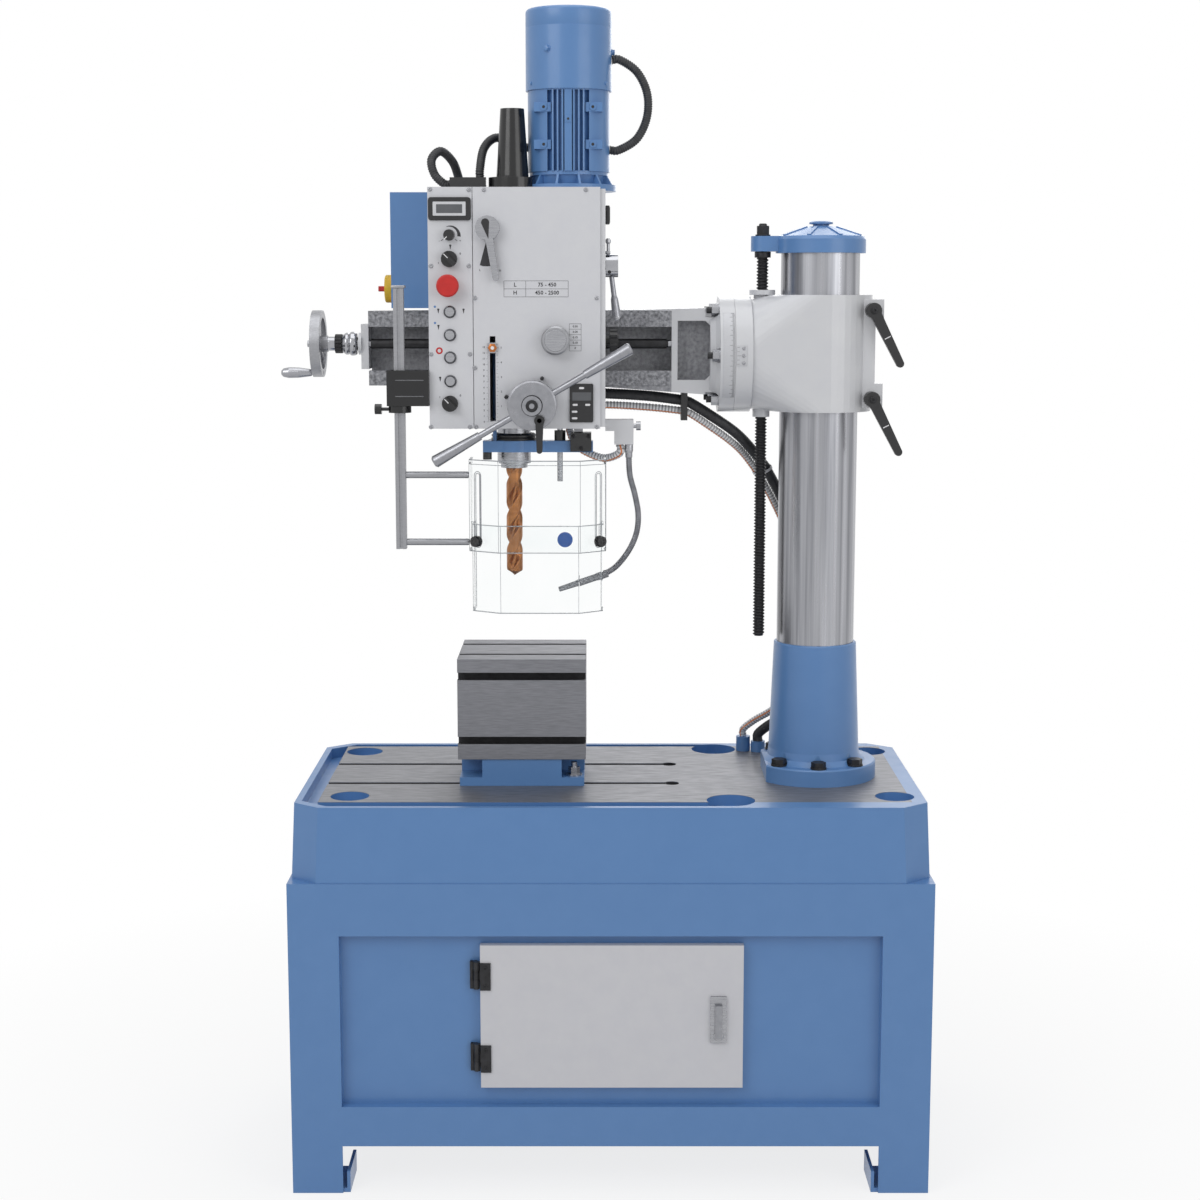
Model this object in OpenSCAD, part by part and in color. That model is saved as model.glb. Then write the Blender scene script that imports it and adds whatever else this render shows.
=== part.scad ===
// Radial arm drill on a sheet-metal stand, millimetres.
// X runs to the right of the operator, Y away from the operator, Z up; the origin is on the floor under the
// middle of the stand.

/* [Stand] */
// Width of the stand
cab_w = 1164; // [1120:2:1240]
// Depth of the stand
cab_d = 560; // [550:2:620]
// Height of the stand
cab_h = 584; // [560:1:640]
// Sheet thickness of the stand
cab_t = 4; // [3:0.5:5]
// Height of the opening between the feet
leg_h = 90; // [70:1:110]
// Width of each foot
leg_w = 92; // [84:1:100]
// Width of the storage door
door_w = 476; // [440:1:500]
// Height of the storage door
door_h = 268; // [240:1:280]
// Thickness of the storage door
door_t = 16; // [13:1:17]

/* [Base plate] */
// Height of the base plate
plate_h = 138; // [120:1:150]
// Spacing of the two T-slots in the base plate
slot_gap = 160; // [150:1:180]
// Mouth width of every T-slot
slot_w = 14; // [12:0.5:16]

/* [Column] */
// Diameter of the column
column_d = 145; // [135:1:150]
// Distance of the column axis from the middle of the stand
column_x = 388; // [384:1:400]
// Length of the column above the base plate
column_len = 994; // [980:1:1060]
// Height of the column foot
foot_h = 259; // [220:1:262]
// Diameter of the lifting screw
lift_d = 22; // [18:1:24]

/* [Collar and arm] */
// Drop of the arm axis below the top of the column
arm_drop = 196; // [186:1:216]
// Height of the collar on the column
collar_h = 213; // [209:1:220]
// Diameter of the bolted flanges between collar and arm
flange_d = 213; // [208:1:218]
// Depth of the channel in the arm
channel_d = 48; // [42:1:52]
// Diameter of the traverse screw
traverse_d = 18; // [16:1:20]
// Diameter of the handwheel
wheel_d = 122; // [112:1:130]

/* [Head] */
// Width of the head housing
head_w = 304; // [298:1:310]
// Height of the head housing
head_h = 411; // [408:1:420]
// Wall of the head housing
head_t = 10; // [8:1:12]
// Diameter of the motor body
motor_d = 145; // [138:1:150]
// Height of the motor cowl
cowl_h = 142; // [130:1:160]

/* [Spindle] */
// Diameter of the quill
quill_d = 60; // [58:0.5:63]
// Diameter of the twist drill
drill_d = 29; // [22:1:32]
// Length of the drill below the spindle nose
drill_len = 196; // [150:1:205]
// Half length of the feed levers
lever_len = 198; // [170:1:202]

/* [Guard] */
// Height of the upper shield
shield_h = 163; // [150:1:170]
// Thickness of the clear shields
shield_t = 4; // [3:0.5:5]

/* [Table] */
// Width of the box table
table_w = 238; // [220:1:250]
// Depth of the box table
table_d = 223; // [210:1:240]
// Height of the box table with its foot
table_h = 240; // [200:1:245]

/* [Hidden] */
$fn = 48;
// overrun of a cutter past the face it leaves
ov = 1;
// running fit on the radius, flat gap between moving faces, loose gap
run = 0.05;
gap = 0.3;
slack = 1;
half = 0.5;
right_angle = 90;
blue = "steelblue";
grey = "gainsboro";
dark = "dimgray";
black = "#202022";
steel = "silver";
alu = "lightgray";
red = "firebrick";
copper = "peru";
clear = [0.8, 0.9, 0.95, 0.4];

// stand: recess, door, hinges, latch, feet
cab_x = cab_w / 2;
cab_y = cab_d / 2;
leg_x = cab_x - leg_w;
leg_d = 90;
leg_y = cab_y - leg_d;
rec_z0 = 165;
rec_z1 = 487;
rec_d = 20;
rec_y = -cab_y + rec_d;
door_x = 2;
door_z = 335;
door_x0 = door_x - door_w / 2;
door_x1 = door_x + door_w / 2;
door_y1 = rec_y - slack;
door_y0 = door_y1 - door_t;
door_skin = 3;
door_lap = 12;
hinge_off = 7;
hinge_r = 6;
hinge_pin_r = 3;
hinge_third = 17;
hinge_zs = [411, 256];
hinge_x = door_x0 - hinge_off;
hinge_y = (door_y0 + door_y1) / 2;
hinge_leaf = [12, 19, 3];
latch_in = [45, 4];
latch_x = door_x1 - latch_in[0];
latch_z = door_z - latch_in[1];
latch_plate = [29, 87, 5];
latch_bar = [13, 62, 8];
latch_shaft_r = 5;
latch_cam = [12, 40, 4];
latch_cam_gap = 3;
latch_cam_y = rec_y + cab_t + latch_cam_gap;
latch_up = 22;
foot_plate_t = 8;
foot_in = 13;
foot_tab = [6, 40];
anchor_in = [47, 40];
anchor_r = 7;
anchor_x = cab_x - anchor_in[0];
anchor_y = cab_y - anchor_in[1];

// coolant unit inside the stand
tank_w = 280;
tank_gap = 23;
tank_x = [cab_x - cab_t - tank_gap - tank_w, cab_x - cab_t - tank_gap];
tank_y = [-190, 190];
tank_h = 200;
pump_in = [155, 60];
pump_at = [tank_x[0] + pump_in[0], pump_in[1]];
pump_r = 52;
pump_flange = [68, 8];
pump_h = 130;
pipe_r = 10;
pipe_in = [65, 60];
pipe_at = [tank_x[0] + pipe_in[0], pipe_in[1]];
pipe_h = 90;

// base plate
plate_z = cab_h + plate_h;
plate_side = 4;
plate_bx = cab_x - plate_side;
plate_by = cab_y - plate_side / 2;
plate_draft = [6, 8];
plate_tx = plate_bx - plate_draft[0];
plate_ty = plate_by - plate_draft[1];
plate_cut = [48, 40];
plate_top_t = 52;
plate_wall = 30;
rib_in = 33;
mid_ribs = [-150, -120, 250, 280];
plate_ribs = concat([rib_in - plate_bx], mid_ribs, [plate_bx - rib_in]);
rim_w = 12;
channel_depth = 20;
island_in = [42, 42, 30];
island_x = island_in[0] - plate_tx;
island_y = [island_in[1] - plate_ty, plate_ty - island_in[2]];
drain_r = 44;
drain_hole_r = 12;
drains = [[218, -214], [209, 216]];
corner_r = 35.5;
corner_depth = 18;
corner_hole_r = 13;
corner_in = [[95, 88], [81, 77], [53, 85], [55, 73]];
corners = [[corner_in[0][0] - plate_tx, corner_in[0][1] - plate_ty],
           [corner_in[1][0] - plate_tx, plate_ty - corner_in[1][1]],
           [plate_tx - corner_in[2][0], corner_in[2][1] - plate_ty],
           [plate_tx - corner_in[3][0], plate_ty - corner_in[3][1]]];
slot_neck = 12;
slot_t_w = 24;
slot_t_h = 11;
slot_end_x = 115;
slot_end_r = 14;
gland_r = 14;
tail_gland = [297, 195, 744];
hose_gland = [268, 204, 752];

// column, foot, bolts
column_r = column_d / 2;
column_wall = 12;
column_top = plate_z + column_len;
arm_z = column_top - arm_drop;
foot_flange_r = 118;
foot_flange_t = 32;
foot_flat = 95;
foot_r1 = 13;
foot_r2 = 5;
foot_fillet = [25, 15];
foot_step = [9, 2.5, 23];
bolt_ring = 101;
bolt_angles = [45, 90, 135, 225, 270, 315];
bolt_r = 8;
bolt_af = 24;
bolt_head = 10;
bolt_deep = 30;
washer = [15, 3];

// box table
table_x = -165;
table_y = 6.5;
table_x0 = table_x - table_w / 2;
table_x1 = table_x + table_w / 2;
table_y0 = table_y - table_d / 2;
table_y1 = table_y + table_d / 2;
table_top = plate_z + table_h;
table_foot_h = 51;
table_wall = 36;
table_pad_t = 16;
table_pad = [42, 62];
table_inset = 3;
table_slot_y = [-48, 65];
table_slot_drop = [32, 153];
tee_in = 22;
tee_bolts = [[table_x1 - tee_in, -slot_gap / 2], [table_x0 + tee_in, slot_gap / 2]];
tee_r = 5.5;
tee_head = [20, 9];
tee_nut_af = 19;
tee_nut_h = 13;
tee_slot_w = 14;

// cap and lifting screw
cap_r = 83;
cap_lap = 11;
cap_z0 = column_top - cap_lap;
cap_profile = [[83, 25], [79, 31], [27, 48], [15, 49], [15, 52], [22, 53], [22, 56], [18, 58]];
cap_roof = 12;
lug_r = 22;
lug_z = [3, 31];
lift_in = 107;
lift_x = column_x - lift_in;
lift_r = lift_d / 2;
lift_low = 268;
lift_z0 = plate_z + lift_low;
lift_neck_r = 8;
lift_collar = [15, 8];
lift_washer = [14, 2.5];
lift_hex_af = 22;
lift_hex_h = 16;

// collar
collar_below = 104;
collar_z0 = arm_z - collar_below;
collar_z1 = collar_z0 + collar_h;
collar_wall = 24;
sleeve_r = column_r + collar_wall;
barrel_r = 101;
collar_out = [161, 130];
collar_fx = [column_x - collar_out[0], column_x - collar_out[1]];
flange_r = flange_d / 2;
nut_r = 16;
nut_flange = [24, 9];
nut_below = 12;
lug_out = [67, 111];
lug_block = [column_x + lug_out[0], column_x + lug_out[1]];
lug_half = 62;
lug_inset = 8;
slit = 8;
lug_waist = [15, 52];
clamp_in = 21;
clamp_x = lug_block[1] - clamp_in;
clamp_ends = [81, -80];
clamp_z = [for (d = clamp_ends) arm_z + d];
clamp_r = 6;
clamp_hub = [14, 26];
clamp_blind = 112;
clamp_tip = [49, -96];
clamp_grip = [10, 7, 14];
pilot_r = 40;
pilot_len = 20;
groove_r = [87.5, 100.5];
groove_d = 14;

// arm
arm_x0 = -444;
arm_y = [-48, 52];
arm_fx = [199, 226.7];
arm_low = [[-444, -50], [-10, -59], [180, -73], [205, -73]];
arm_high = [[205, 86], [60, 82], [-444, 80]];
way_y = -52;
way_top = [51, 80];
way_low = [-56, -29];
way_x1 = 108;
rib_x = [112, 123];
web_t = 18;
web_y = [arm_y[0] + channel_d, arm_y[0] + channel_d + web_t];
under_y = -28;
under_z = 9;
bay_x1 = 188;
bay_y = -12;
bay_z = [-46, 62];
bay_cut = 14;
back_x = [-420, 186];
back_z = [-34, 60];
neck = [[0, 182], [80, 182], [86, 192], [96, 199.5], [0, 199.5]];
arm_bolt_ring = 94;
arm_bolt_step = 60;
arm_bolts_n = 6;
arm_bolt_r = 6;
arm_bolt_x = [176, 238];
arm_nut = [19, 12];
arm_washer = [12, 2];
spot_r = 13;
spot_x = 174;
clip_x = [131, 143];
clip_y = 18;
clip_z = [-122, -66];
clip_holes = [[0, -86, 12.5], [0, -106, 10]];
screw_y = -36;
screw_up = 20;
screw_z = arm_z + screw_up;
bracket_x = [-458, -444.3];
bracket_y = [-48, 30];
bracket_z = [-26, 56];
bracket_boss = [20, 5];
shaft_r = 7;
traverse_r = traverse_d / 2;
traverse_x = [-440, 104];
traverse_end = 118;
ball_share = 0.75;
ball = [17, 466, 484];
dial = [13.5, 486, 506];
hub_x0 = -553;
wheel_x = [-550, -526];
wheel_r = wheel_d / 2;
wheel_rim = 14;
wheel_rim_t = 18;
wheel_hub = [15, 30];
spoke = [13, 9];
spoke_n = 3;
crank_at = 8;
crank_r = 4;
crank_profile = [[0, 0], [6, 0], [7, 4], [9.5, 24], [10, 42], [8, 52], [4, 56], [0, 56]];
crank_gap = 1;

// head
head_x1 = -10;
head_x0 = head_x1 - head_w;
head_y = [-236, -62];
head_drop = 120;
head_z0 = arm_z - head_drop;
// places on the head: from its corner, from the spindle, on its side, and heights
function on_head(p) = [head_x0 + p[0], head_z0 + p[1]];
function by_spindle(p) = [spindle_x + p[0], spindle_y + p[1], head_z0 + p[2]];
function on_side(p) = [spindle_y + p[0], head_z0 + p[1]];
function heights(d) = [for (z = d) head_z0 + z];
head_z1 = head_z0 + head_h;
panel_t = 4;
panel_y = head_y[0] - panel_t;
panel_in = [-4, 73, 74, 9];
panel_x = [head_x0 + panel_in[0], head_x0 + panel_in[1], head_x0 + panel_in[2], head_x1 - panel_in[3]];
panel_z = [-3, 3];
spindle_x = -174;
spindle_y = -150;
quill_r = quill_d / 2;
sleeve_wall = 12;
sleeve_h = 130;
shelf_z = [316, 328];
key_ends = [24, 30];
key_x = [head_x0 + key_ends[0], head_x1 - key_ends[1]];
key_in = -15;
pad_z = 1.5;
gland_in = 110;
gland_up = [36, 14];
head_gland_r = [14, 11];
head_glands = [for (i = [0, 1]) [head_x1 - gland_in, head_z0 + gland_up[i], head_gland_r[i]]];
head_gland_t = 8;
gear_hub_r = 24;
bearing_r = 18;
bearing_t = 14;

// gears: motor pinion and spindle gear
gear_m = 4;
gear_n = 35;
motor_n = 17;
gear_play = 0.25;
gear_z = [338, 368];
pressure = 20;
tip_share = 1;
root_share = 1.25;
flank_shares = [0, 0.35, 0.7, 1];
centre_gap = gear_m * (gear_n + motor_n) / 2;
motor_off = 99;
motor_x = spindle_x + motor_off;
motor_y = spindle_y + sqrt(centre_gap * centre_gap - (motor_x - spindle_x) * (motor_x - spindle_x));
mesh_angle = atan2(motor_y - spindle_y, motor_x - spindle_x);

// rack and pinion
rack_m = 1.25;
rack_n = 17;
rack_play = 0.2;
rack_in = 3.6;
rack_pitch_r = rack_m * rack_n / 2;
rack_line = quill_r - rack_in;
hub_x = spindle_x + rack_line + rack_pitch_r;
hub_up = 40;
hub_z = head_z0 + hub_up;
rack_below = 5;
rack_above = 36;
pinion_half = 10;
feed_shaft_r = 7.5;

// motor
motor_r = motor_d / 2;
motor_flange = [83.5, 11];
bell = [62, 66, 27];
bell_ring = [70, 34];
bell_rib = [80, 4];
bell_rib_n = 12;
motor_top = 183;
motor_core = 10;
fin_n = 3;
fin_t = 3;
fin_pitch = 8.5;
flank_in = 36.5;
boss_strip = 13;
pad_x = [30, 60];
pad_y = [62, 30];
pad_ups = [79, 143];
motor_pad_h = 16;
motor_boss = [43, 6, 2.5, 2];
rotor_bore = 46;
rotor_r = 44;
rotor_z = [47, 168];
motor_bore_z = [40, 176];
shaft_m = 12;
shaft_low = 318;
shaft_high = 655;
cowl_over = 3.5;
cowl_r = motor_r + cowl_over;
cowl_skin = 3;
cowl_lap = 9;
cowl_shares = [[1, 0.76], [0.95, 0.88], [0.8, 0.96], [0.55, 1]];
vent_n = 12;
vent = [24, 58, 4];
fan = [18, 58, 5];
fan_n = 8;
fan_z = [600, 630];

// spindle cap, spindle, quill, bracket
cap_base = [42.5, 23];
cap_taper = [28.5, 26, 21, 142];
cap_bore = [19, 135];
quill_ends = [-70, 200];
quill_z = heights(quill_ends);
spindle_r = 17;
spline_r = 13;
spline_tip = 16;
spline_t = 6;
spline_n = 6;
spline_gap = 0.4;
spindle_up = 124;
spindle_top = head_z1 + spindle_up;
nose = [24, 8];
socket_r = 10;
socket_h = 70;
bar_box = [[-54, -42, -48], [142, -12, -28]];
bar = [for (c = bar_box) by_spindle(c)];
bar_z = [bar[0][2], bar[1][2]];
bar_ring_r = 46;
bar_fit = 0.1;
stop_off = [83, -26];
stop_at = [spindle_x + stop_off[0], spindle_y + stop_off[1], 0];
stop_r = 5;
stop_ends = [-101, 120];
stop_z = heights(stop_ends);
stop_knob = [10, 18];
pointer_off = [-33, -32, 138];
pointer_at = [spindle_x + pointer_off[0], spindle_y + pointer_off[1], 0];
pointer_r = 3.5;
pointer_z = head_z0 + pointer_off[2];
pointer_plate = [13, 18, 3];
pointer_out = 6;
sensor_box = [[102, -50, -46], [139, -15, -13]];
sensor = [for (c = sensor_box) by_spindle(c)];
reader_box = [[108, -38, -14], [124, -34, 90]];
reader = [for (c = reader_box) by_spindle(c)];
knob_off = [-47, -26];
knob_under = [spindle_x + knob_off[0], spindle_y + knob_off[1], 8, 14];
hole_slack = 1.5;
drill_z1 = quill_z[0] - nose[1];
drill_web = 3.2;
drill_pitch = 120;
drill_tip = 9;
drill_slices = 22;
drill_shares = [[0.24, 0], [0.5, 18], [0.78, 28], [0.97, 36], [1, 60], [1, 90], [1, 120], [0.97, 146],
                [0.6, 155], [0.32, 168]];

// feed hub and front controls
hub_profile = [[0, 0.3], [22, 0.3], [22, 22], [43, 22], [43, 52], [40, 54], [17, 54], [17, 64], [9, 64],
               [9, 68], [0, 68]];
lever_y = 45;
lever_angles = [30, 210];
lever_rod = [5.5, 38];
lever_grip = [7.5, 11, 105];
lever_end = 3;
clutch_off = [13, -25];
clutch_at = [hub_x + clutch_off[0], hub_z + clutch_off[1]];
clutch_y = 54;
clutch_hub = [9, 14];
clutch_tip = [0, -52];
clutch_grip = [7, 5, 10];
gear_off = [100, 344];
gear_at = on_head(gear_off);
gear_hub = [21, 16];
gear_pin = 6;
gear_tip = [14, -86];
gear_grip = [7, 5, 10];
inset = 10;
feed_off = [217, 151];
feed_at = on_head(feed_off);
feed_profile = [[0, 0.3], [12, 0.3], [12, 6], [25, 6], [25, 22], [22, 25], [0, 25]];
feed_pin = 5;
estop_off = [31, 245];
estop_at = on_head(estop_off);
estop_profile = [[0, 0], [9, 0], [9, 6], [13, 7], [19.5, 13], [19.5, 18], [17, 21], [0, 21]];
estop_pin = 8;
estop_gap = 6.5;
push_in = 33;
push_x = head_x0 + push_in;
push_up = [200, 160, 121, 80];
push_z = heights(push_up);
push_r = 8;
push_out = 6;
pot_off = [33, 332];
pot_at = on_head(pot_off);
pot_profile = [[0, 0.3], [10, 0.3], [9, 15], [0, 15]];
pot_pin = 3;
upper_off = [33, 291];
upper_at = on_head(upper_off);
lower_off = [32, 41];
lower_at = on_head(lower_off);
dial_base = [14, 8];
dial_bar = [26, 9, 20];
dial_pin = 6;
lcd_off = [[-1, 359], [70, 395]];
lcd = [on_head(lcd_off[0]), on_head(lcd_off[1])];
readout_off = [[242, 9], [282, 75]];
readout = [on_head(readout_off[0]), on_head(readout_off[1])];
display_t = 3;
slot_half = 5;
slot_ends = [9, 158];

// side controls and boxes
side_off = [-40, 280];
side_at = on_side(side_off);
side_hub = [20, 22];
side_pin = 8;
side_rod = [4, 8];
side_tip = [9, -89];
star_off = [62, 147];
star_at = on_side(star_off);
star_neck = [8, 8];
star_body = [16, 14];
star_top = [12, 2];
star_pin = 5;
star_lobes = 6;
star_lobe_r = 4;
ebox_off = [[-86, 0, 205], [124, 128, 413]];
ebox = [for (c = ebox_off) [head_x0 + c[0], head_y[1] + c[1], head_z0 + c[2]]];
ebox_skin = 3;
ebox_cover = 3;
switch_off = [67, 240];
switch_at = [head_y[1] + switch_off[0], head_z0 + switch_off[1]];
switch_plate = [4, 50, 54];
switch_hub = [16, 14];
switch_bar = [44, 10, 10];
switch_pin = 5;
block_off = [[-110, -20, 0], [-46, 20, 23]];
gland_block = [for (c = block_off) [spindle_x + c[0], spindle_y + c[1], head_z1 + c[2]]];

// guard
post_out = 57;
post_x = head_x0 - post_out;
post_back = 6;
post_y = head_y[0] + post_back;
post_w = 18;
post_ends = [-216, 241];
post_z = heights(post_ends);
post_cap = [24, 5];
post_play = 0.3;
holder_half = [21, 22];
holder_ends = [37, 99];
holder = [[post_x - holder_half[0], post_y - holder_half[1], head_z0 + holder_ends[0]],
          [head_x0, post_y + holder_half[1], head_z0 + holder_ends[1]]];
turret_r = 16;
turret_ring = [20, 12];
turret_up = 96;
turret_top = head_z0 + turret_up;
thumb = [3, 12, 9, 12];
tube_r = 6;
tube_ends = [-85, -204];
tube_z = heights(tube_ends);
shield_drop = 58;
shield_top = head_z0 - shield_drop;
shield_off_x = [-77, -24, 120, 165];
shield_x = [for (d = shield_off_x) spindle_x + d];
shield_off_y = [-112, -76, -22];
shield_y = [for (d = shield_off_y) spindle_y + d];
lower_drop = 108;
lower_h = 156;
lower_gap = 1;
slot_share = 0.3;
slot_mouth = 8;
guard_slot = [-210, -82];
slot_z = heights(guard_slot);
guard_knob = [3, 9, 12];
guard_knob_up = -202;
guard_knob_z = head_z0 + guard_knob_up;

// coolant bracket, tap and lines
elbow_off = [[0, -46, -10], [50, -14, 10]];
elbow = [for (c = elbow_off) [head_x1 + c[0], spindle_y + c[1], head_z0 + c[2]]];
leg_off = [[16, -46, -34], [50, -14, -8]];
elbow_leg = [for (c = leg_off) [head_x1 + c[0], spindle_y + c[1], head_z0 + c[2]]];
tap_off = [-30, -2];
tap_at = on_side(tap_off);
tap_profile = [[0, 0.3], [4, 0.3], [4, 5], [8, 5], [8, 13], [0, 13]];
tap_pin = 4;
tap_pin_len = 14;
nozzle = [[-13, -153, 1127], [-94, -146, 1099]];
nozzle_r = [6.5, 3];
neck_r = [5.6, 4.7];
neck_bore = 3;
neck_path = [[32, -180, 1366], [32, -180, 1345], [34, -180, 1310], [43, -179, 1275], [49, -177, 1240],
             [46, -173, 1205], [32, -167, 1172], [10, -159, 1143], [-13, -153, 1127]];
short_r = [7.5, 6.6];
short_bore = 5;
short_path = [[-74, -122, 1400], [-74, -122, 1384], [-62, -134, 1361], [-38, -146, 1346], [-10, -160, 1339],
              [16, -178, 1350], [16, -178, 1366]];

// cables and hoses: hand-set route points of four stretches
cable_r = 10;
hose_r = [7.5, 6.6];
hose_bore = 5;
cable_row = [
    [[-120, -54, 1436], [-120, -44, 1436], [-110, -26, 1439], [-80, -6, 1444], [-40, 3, 1447],
     [10, 4, 1446], [75, 2, 1442], [124, 0, 1436], [137, 0, 1434]],
    [[137, 0, 1434], [150, 0, 1429], [184, 8, 1408], [231, 24, 1376], [262, 42, 1346], [295, 58, 1305]],
    [[295, 58, 1305], [330, 76, 1240], [362, 92, 1165], [382, 99, 1090], [388, 101, 1010]],
    [[388, 101, 1010], [386, 106, 930], [372, 124, 862], [345, 155, 806], [312, 184, 774], [297, 195, 757],
     [297, 195, 744]]];
hose_row = [
    [[-120, -54, 1414], [-120, -44, 1414], [-110, -26, 1416], [-80, -6, 1420], [-40, 3, 1425],
     [10, 4, 1425], [75, 2, 1421], [124, 0, 1416], [137, 0, 1414]],
    [[137, 0, 1414], [150, 0, 1409], [182, 12, 1388], [224, 32, 1358], [252, 54, 1332], [282, 72, 1293]],
    [[282, 72, 1293], [316, 91, 1232], [349, 108, 1160], [372, 117, 1088], [380, 119, 1010]],
    [[380, 119, 1010], [378, 124, 932], [362, 142, 868], [328, 172, 816], [290, 196, 786], [268, 204, 766],
     [268, 204, 752]]];
panel_loop = [[-284, -150, 1823], [-294, -150, 1823], [-312, -146, 1840], [-318, -136, 1866],
              [-303, -118, 1882], [-284, -96, 1866], [-276, -66, 1842], [-275, -48, 1827], [-275, -48, 1813]];
motor_loop = [[1.4, -118, 2040], [16, -118, 2040], [46, -112, 2020], [64, -108, 1984], [64, -108, 1942],
              [46, -112, 1904], [14, -118, 1884], [-2.2, -118, 1884]];
back_loop = [[-232, -140, 1834], [-232, -140, 1850], [-226, -122, 1886], [-208, -100, 1906], [-184, -88, 1903],
             [-164, -94, 1890], [-145.4, -99, 1890]];
loop_r = 8;
path_steps = 3;
fine_steps = 6;
bore_step = 4;
tube_sides = 8;
rib_pitch = 11;
neck_rib_pitch = 7;

// shared shapes

// box between two corners
module slab(a, b) translate(a) cube(b - a);

// rods along X, toward the operator, and up
module xrod(p, r, len) translate(p) rotate([0, right_angle, 0]) cylinder(r = r, h = len);
module yrod(p, r, len) translate(p) rotate([right_angle, 0, 0]) cylinder(r = r, h = len);
module zrod(p, r, len) translate(p) cylinder(r = r, h = len);

// bores that run past both faces, along X and up
module xbore(p, r, len) xrod(p - [ov, 0, 0], r, len + 2 * ov);
module zbore(p, r, len) zrod(p - [0, 0, ov], r, len + 2 * ov);

// upright plates about a centre, facing sideways or to the front
module xblock(x0, x1, at, w, h) slab([x0, at[0] - w / 2, at[1] - h / 2], [x1, at[0] + w / 2, at[1] + h / 2]);
module yblock(y0, y1, at, w, h) slab([at[0] - w / 2, y0, at[1] - h / 2], [at[0] + w / 2, y1, at[1] + h / 2]);

// turned shapes from [radius, distance] pairs, along X, to the front, and up
module xturn(p, prof) translate(p) rotate([0, right_angle, 0]) rotate_extrude() polygon(prof);
module yturn(p, prof) translate(p) rotate([right_angle, 0, 0]) rotate_extrude() polygon(prof);
module zturn(p, prof) translate(p) rotate_extrude() polygon(prof);

// flat outlines in X and Z thickened between two Y planes
module yplate(front, back)
    translate([0, back, 0]) rotate([right_angle, 0, 0]) linear_extrude(back - front) children();

// hexagon across flats, standing on Z
module hex(af, h) cylinder(d = af / cos(30), h = h, $fn = 6);

// T-slot along +X, mouth upward at the origin
module tee_slot(len) {
    slab([0, -slot_w / 2, -slot_neck - slot_t_h], [len, slot_w / 2, ov]);
    slab([0, -slot_t_w / 2, -slot_neck - slot_t_h], [len, slot_t_w / 2, -slot_neck]);
}

// gear outline with involute flanks
function inv(a) = tan(a) * 180 / PI - a;
function gear_r(m, n) = m * n / 2;
function base_r(m, n) = gear_r(m, n) * cos(pressure);
function root_r(m, n) = gear_r(m, n) - root_share * m;
function flank_half(m, n, play, r) =
    (right_angle - play / m * 180 / PI) / n + inv(pressure) - inv(acos(min(1, base_r(m, n) / r)));
function flank_r(m, n, s) =
    let (lo = max(base_r(m, n), root_r(m, n))) lo + s * (gear_r(m, n) + tip_share * m - lo);
function polar(r, a) = [r * cos(a), r * sin(a)];
function gear_points(m, n, play) = [
    for (i = [0 : n - 1], k = [0 : 2 * len(flank_shares) + 1])
        let (c = 360 * i / n, last = len(flank_shares))
        k == 0 || k == 2 * last + 1
            ? polar(root_r(m, n), c + (k == 0 ? -1 : 1) * flank_half(m, n, play, flank_r(m, n, 0)))
            : let (j = k <= last ? k - 1 : 2 * last - k, r = flank_r(m, n, flank_shares[j]))
              polar(r, c + (k <= last ? -1 : 1) * flank_half(m, n, play, r))];

// route helpers: smooth curve through hand-set points, rings carried along it without twist
function unit(v) = v / norm(v);
function bezier(a, b, c, d, t) =
    half * ((2 * b) + (c - a) * t + (2 * a - 5 * b + 4 * c - d) * t * t + (3 * b - a - 3 * c + d) * t * t * t);
function smooth(p, n) = concat([
    for (i = [0 : len(p) - 2], j = [0 : n - 1])
        bezier(i == 0 ? 2 * p[0] - p[1] : p[i - 1], p[i], p[i + 1],
               i == len(p) - 2 ? 2 * p[i + 1] - p[i] : p[i + 2], j / n)], [p[len(p) - 1]]);
function run_len(p) = [
    for (i = 0, s = 0; i < len(p); i = i + 1, s = s + (i < len(p) ? norm(p[i] - p[i - 1]) : 0)) s];
function place(p, s, at, i = 0) =
    i >= len(p) - 2 || s[i + 1] >= at ? p[i] + (p[i + 1] - p[i]) * (at - s[i]) / (s[i + 1] - s[i])
                                      : place(p, s, at, i + 1);
function even(p, n) = let (s = run_len(p), total = s[len(s) - 1]) [
    for (i = [0 : n]) i == 0 ? p[0] : i == n ? p[len(p) - 1] : place(p, s, total * i / n)];
function tangents(p, ends) = [
    for (i = [0 : len(p) - 1])
        i == 0 ? ends[0] : i == len(p) - 1 ? ends[1] : unit(p[i + 1] - p[i - 1])];
// direction where a row of stretches begins, hands over or ends
function turn_at(row, i) = let (a = row[i - 1], b = row[i])
    i == 0 ? unit(b[1] - b[0]) : unit((i == len(row) ? a[len(a) - 1] : b[1]) - a[len(a) - 2]);
function across(t) = abs(t[2]) < half ? [0, 0, 1] : [0, 1, 0];
function sides(t) = [
    for (i = 0, n = unit(cross(t[0], across(t[0]))); i < len(t); i = i + 1,
         n = i < len(t) ? unit(n - (n * t[i]) * t[i]) : n) n];
function ring(c, t, n, r) = let (b = cross(t, n)) [
    for (k = [0 : tube_sides - 1]) c + r * (cos(360 * k / tube_sides) * n + sin(360 * k / tube_sides) * b)];
function wrap(a, k) = a * tube_sides + (k % tube_sides);

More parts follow.
